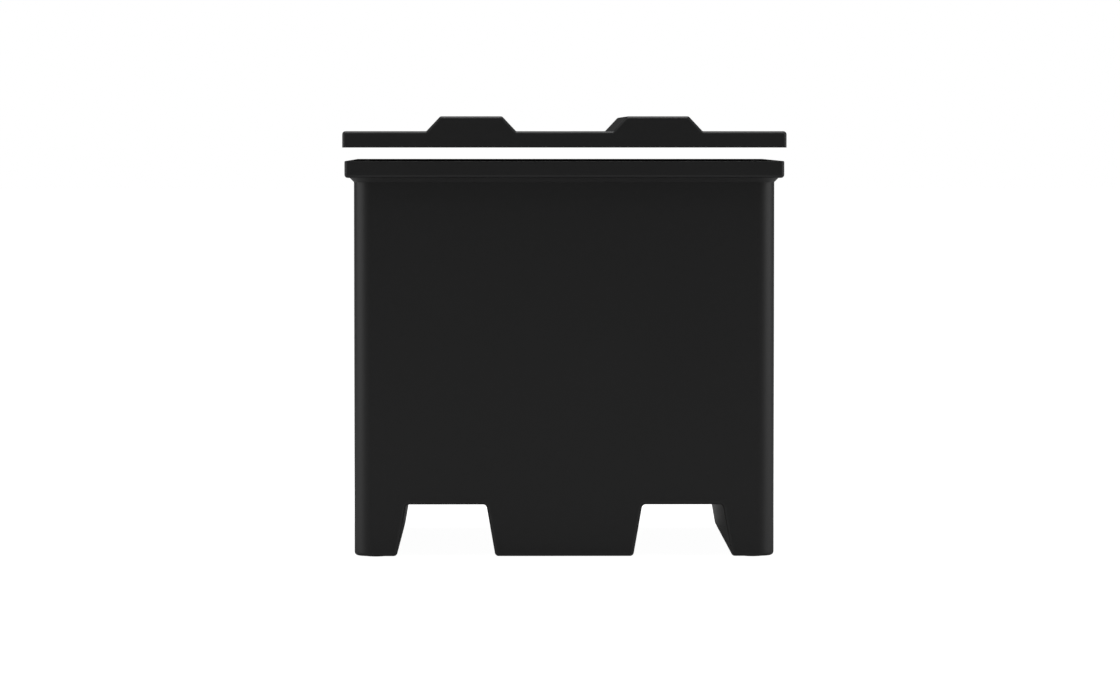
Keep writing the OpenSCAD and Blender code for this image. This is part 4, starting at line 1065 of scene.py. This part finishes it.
def make_screws(looks):
    """Every group of like screws. The head's seat is where the shank meets the head."""
    head, radius = HEAD_HEIGHT, HEAD_RADIUS
    rows = (("guard_screws", "Z", False), ("motor_screws", "Z", False),
            ("bracket_screws", "Z", True), ("board_screws", "Z", True),
            ("cover_screws", "Z", True), ("panel_screws", "Y", False))
    for node, axis, flip in rows:
        low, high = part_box(node)
        k = "XYZ".index(axis)
        run = high[k] - low[k] - head
        seat = low[k] + head if flip else high[k] - head
        if node in ("guard_screws", "motor_screws"):
            far = (high.x - low.x) / 2 - radius
            spots = [(sx * far, sy * far, seat) for sx in (-1, 1) for sy in (-1, 1)]
        elif node == "panel_screws":
            spots = [(px, seat, pz) for px in (low.x + radius, high.x - radius)
                     for pz in (low.z + radius, high.z - radius)]
        else:
            spots = [(px, py, seat) for px, py in corners_of(node, radius)]
        if node == "cover_screws":
            spots += [(px, 0, seat) for px in (low.x + radius, high.x - radius)]
        made = copies(node + "_set", screw_shape(run, axis, flip), spots, looks["screw"])
        place(made, "tank", looks["screw"], [node])


# ---------- Stage ----------

def soft_light(name, where, size, power, target):
    """A large soft light that faces a target."""
    light = bpy.data.lights.new(name, "AREA")
    light.shape, light.size, light.size_y, light.energy = "RECTANGLE", size[0], size[1], power
    obj = add_object(name, light)
    obj.location = where
    obj.rotation_euler = (Vector(target) - Vector(where)).to_track_quat("-Z", "Y").to_euler()


def make_stage(s):
    """A pale floor, large soft lights at both sides and above, and the camera."""
    scene = bpy.context.scene
    scene.view_settings.view_transform = "Standard"
    low, high = CAD_BOUNDS
    bm = bmesh.new()
    bmesh.ops.create_grid(bm, x_segments=1, y_segments=1, size=30.0)
    floor = object_from("floor", bm)
    floor.data.transform(Matrix.Translation((0, 0, low.z - 0.2 * MM)))
    material = bpy.data.materials.new("floor")
    material.use_nodes = True
    tree = material.node_tree
    shader = tree.nodes["Principled BSDF"]
    shader.inputs["Base Color"].default_value = (*s.floor_colour, 1)
    shader.inputs["Roughness"].default_value = 0.9
    shader.inputs["Specular IOR Level"].default_value = 0.0
    shader.inputs["Emission Color"].default_value = (1, 1, 1, 1)
    rays = node_of(tree, "ShaderNodeLightPath")
    glow = node_of(tree, "ShaderNodeMapRange", {
        "Value": rays.outputs["Is Camera Ray"], "To Min": s.floor_felt, "To Max": s.floor_seen})
    tree.links.new(glow.outputs["Result"], shader.inputs["Emission Strength"])
    floor.data.materials.append(material)
    floor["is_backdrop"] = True

    world = bpy.data.worlds.new("studio")
    scene.world = world
    world.use_nodes = True
    tree = world.node_tree
    seen = tree.nodes["Background"]
    seen.inputs["Color"].default_value = (1, 1, 1, 1)
    seen.inputs["Strength"].default_value = 1.0
    felt = node_of(tree, "ShaderNodeBackground", {
        "Color": (1, 1, 1, 1), "Strength": s.surround})
    rays = node_of(tree, "ShaderNodeLightPath")
    mixed = node_of(tree, "ShaderNodeMixShader", {
        0: rays.outputs["Is Camera Ray"], 1: felt.outputs[0], 2: seen.outputs[0]})
    tree.links.new(mixed.outputs[0], tree.nodes["World Output"].inputs["Surface"])

    aim = (0, 0, high.z / 2)
    for side in (-1, 1):
        soft_light(f"side_{side}", (side * 2.4, -0.5, 0.9), (2.4, 1.8), s.side_power, aim)
    soft_light("top", (0, -0.1, 2.6), (2.0, 2.0), s.top_power, aim)

    camera = bpy.data.objects.new("camera", bpy.data.cameras.new("camera"))
    scene.collection.objects.link(camera)
    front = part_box("tank")[0].y
    camera.location = (-s.aside, front - s.distance, s.height)
    camera.rotation_euler = (math.radians(90) - s.tilt, 0, -s.turn)
    camera.data.lens = s.lens
    camera.data.sensor_width = 36
    camera.data.clip_end = 100
    scene.camera = camera


# ---------- Operators ----------

class WashStationSettings(bpy.types.PropertyGroup):
    """Everything a user would change."""
    tub: bpy.props.PointerProperty(type=TubSettings)
    lid: bpy.props.PointerProperty(type=LidSettings)
    fittings: bpy.props.PointerProperty(type=FittingSettings)
    finishes: bpy.props.PointerProperty(type=FinishSettings)
    stage: bpy.props.PointerProperty(type=StageSettings)


def settings_and_looks(context):
    """The scene's settings, and the finishes made from them."""
    kit = context.scene.wash_station
    return kit, finishes(kit.finishes)


class WASH_OT_stage(bpy.types.Operator):
    """Makes the floor, the lights and the camera"""
    bl_idname = "wash_station.stage"
    bl_label = "Stage"
    bl_options = {"REGISTER", "UNDO"}

    def execute(self, context):
        kit = settings_and_looks(context)[0]
        make_stage(kit.stage)
        return {"FINISHED"}


class WASH_OT_frame_parts(bpy.types.Operator):
    """Gives every part of the frame the finish of its material slot"""
    bl_idname = "wash_station.frame_parts"
    bl_label = "Frame parts"
    bl_options = {"REGISTER", "UNDO"}

    def execute(self, context):
        looks = settings_and_looks(context)[1]
        for row in frame["record"]["subparts"]:
            mesh = NODES[row["node"]].data
            mesh.materials.clear()
            mesh.materials.append(looks[row["material_slot"]])
        return {"FINISHED"}


class WASH_OT_tub(bpy.types.Operator):
    """Makes the moulded tub"""
    bl_idname = "wash_station.tub"
    bl_label = "Tub"
    bl_options = {"REGISTER", "UNDO"}

    def execute(self, context):
        kit, looks = settings_and_looks(context)
        make_tub(kit.tub, looks)
        return {"FINISHED"}


class WASH_OT_lid(bpy.types.Operator):
    """Makes the moulded lid"""
    bl_idname = "wash_station.lid"
    bl_label = "Lid"
    bl_options = {"REGISTER", "UNDO"}

    def execute(self, context):
        kit, looks = settings_and_looks(context)
        make_lid(kit.lid, looks)
        return {"FINISHED"}


class WASH_OT_basket(bpy.types.Operator):
    """Makes the slotted basket and its two bails"""
    bl_idname = "wash_station.basket"
    bl_label = "Basket and bails"
    bl_options = {"REGISTER", "UNDO"}

    def execute(self, context):
        kit, looks = settings_and_looks(context)
        make_basket(kit.fittings, looks)
        make_bails(kit.fittings, looks)
        return {"FINISHED"}


class WASH_OT_controls(bpy.types.Operator):
    """Makes the knob, the button, the inlet, the light and their marks"""
    bl_idname = "wash_station.controls"
    bl_label = "Controls"
    bl_options = {"REGISTER", "UNDO"}

    def execute(self, context):
        kit, looks = settings_and_looks(context)
        make_knob(kit.fittings, looks)
        make_button(looks)
        make_panel(looks)
        return {"FINISHED"}


class WASH_OT_drain(bpy.types.Operator):
    """Makes the drain valve and its lever"""
    bl_idname = "wash_station.drain"
    bl_label = "Drain"
    bl_options = {"REGISTER", "UNDO"}

    def execute(self, context):
        kit, looks = settings_and_looks(context)
        make_drain(kit.fittings, looks)
        return {"FINISHED"}


class WASH_OT_screws(bpy.types.Operator):
    """Makes every screw"""
    bl_idname = "wash_station.screws"
    bl_label = "Screws"
    bl_options = {"REGISTER", "UNDO"}

    def execute(self, context):
        looks = settings_and_looks(context)[1]
        make_screws(looks)
        return {"FINISHED"}


OPERATORS = (WASH_OT_stage, WASH_OT_frame_parts, WASH_OT_tub, WASH_OT_lid, WASH_OT_basket,
             WASH_OT_controls, WASH_OT_drain, WASH_OT_screws)


class WASH_PT_panel(bpy.types.Panel):
    """Lists the operators"""
    bl_idname = "WASH_PT_panel"
    bl_label = "Wash station"
    bl_space_type = "VIEW_3D"
    bl_region_type = "UI"
    bl_category = "Wash station"

    def draw(self, context):
        for operator in OPERATORS:
            self.layout.operator(operator.bl_idname)


CLASSES = (TubSettings, LidSettings, FittingSettings, FinishSettings, StageSettings,
           WashStationSettings, *OPERATORS, WASH_PT_panel)


def register():
    """Adds the settings, the operators and the panel to Blender."""
    for cls in CLASSES:
        bpy.utils.register_class(cls)
    bpy.types.Scene.wash_station = bpy.props.PointerProperty(type=WashStationSettings)


def unregister():
    """Takes them out again."""
    del bpy.types.Scene.wash_station
    for cls in reversed(CLASSES):
        bpy.utils.unregister_class(cls)


def main():
    """Makes every piece and works out how large the whole is."""
    register()
    for operator in OPERATORS:
        group, name = operator.bl_idname.split(".")
        getattr(getattr(bpy.ops, group), name)()
    corners = {"cad": CAD_BOUNDS, "visual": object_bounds()}
    plain = {key: [list(low), list(high)] for key, (low, high) in corners.items()}


if __name__ == "__main__":
    main()
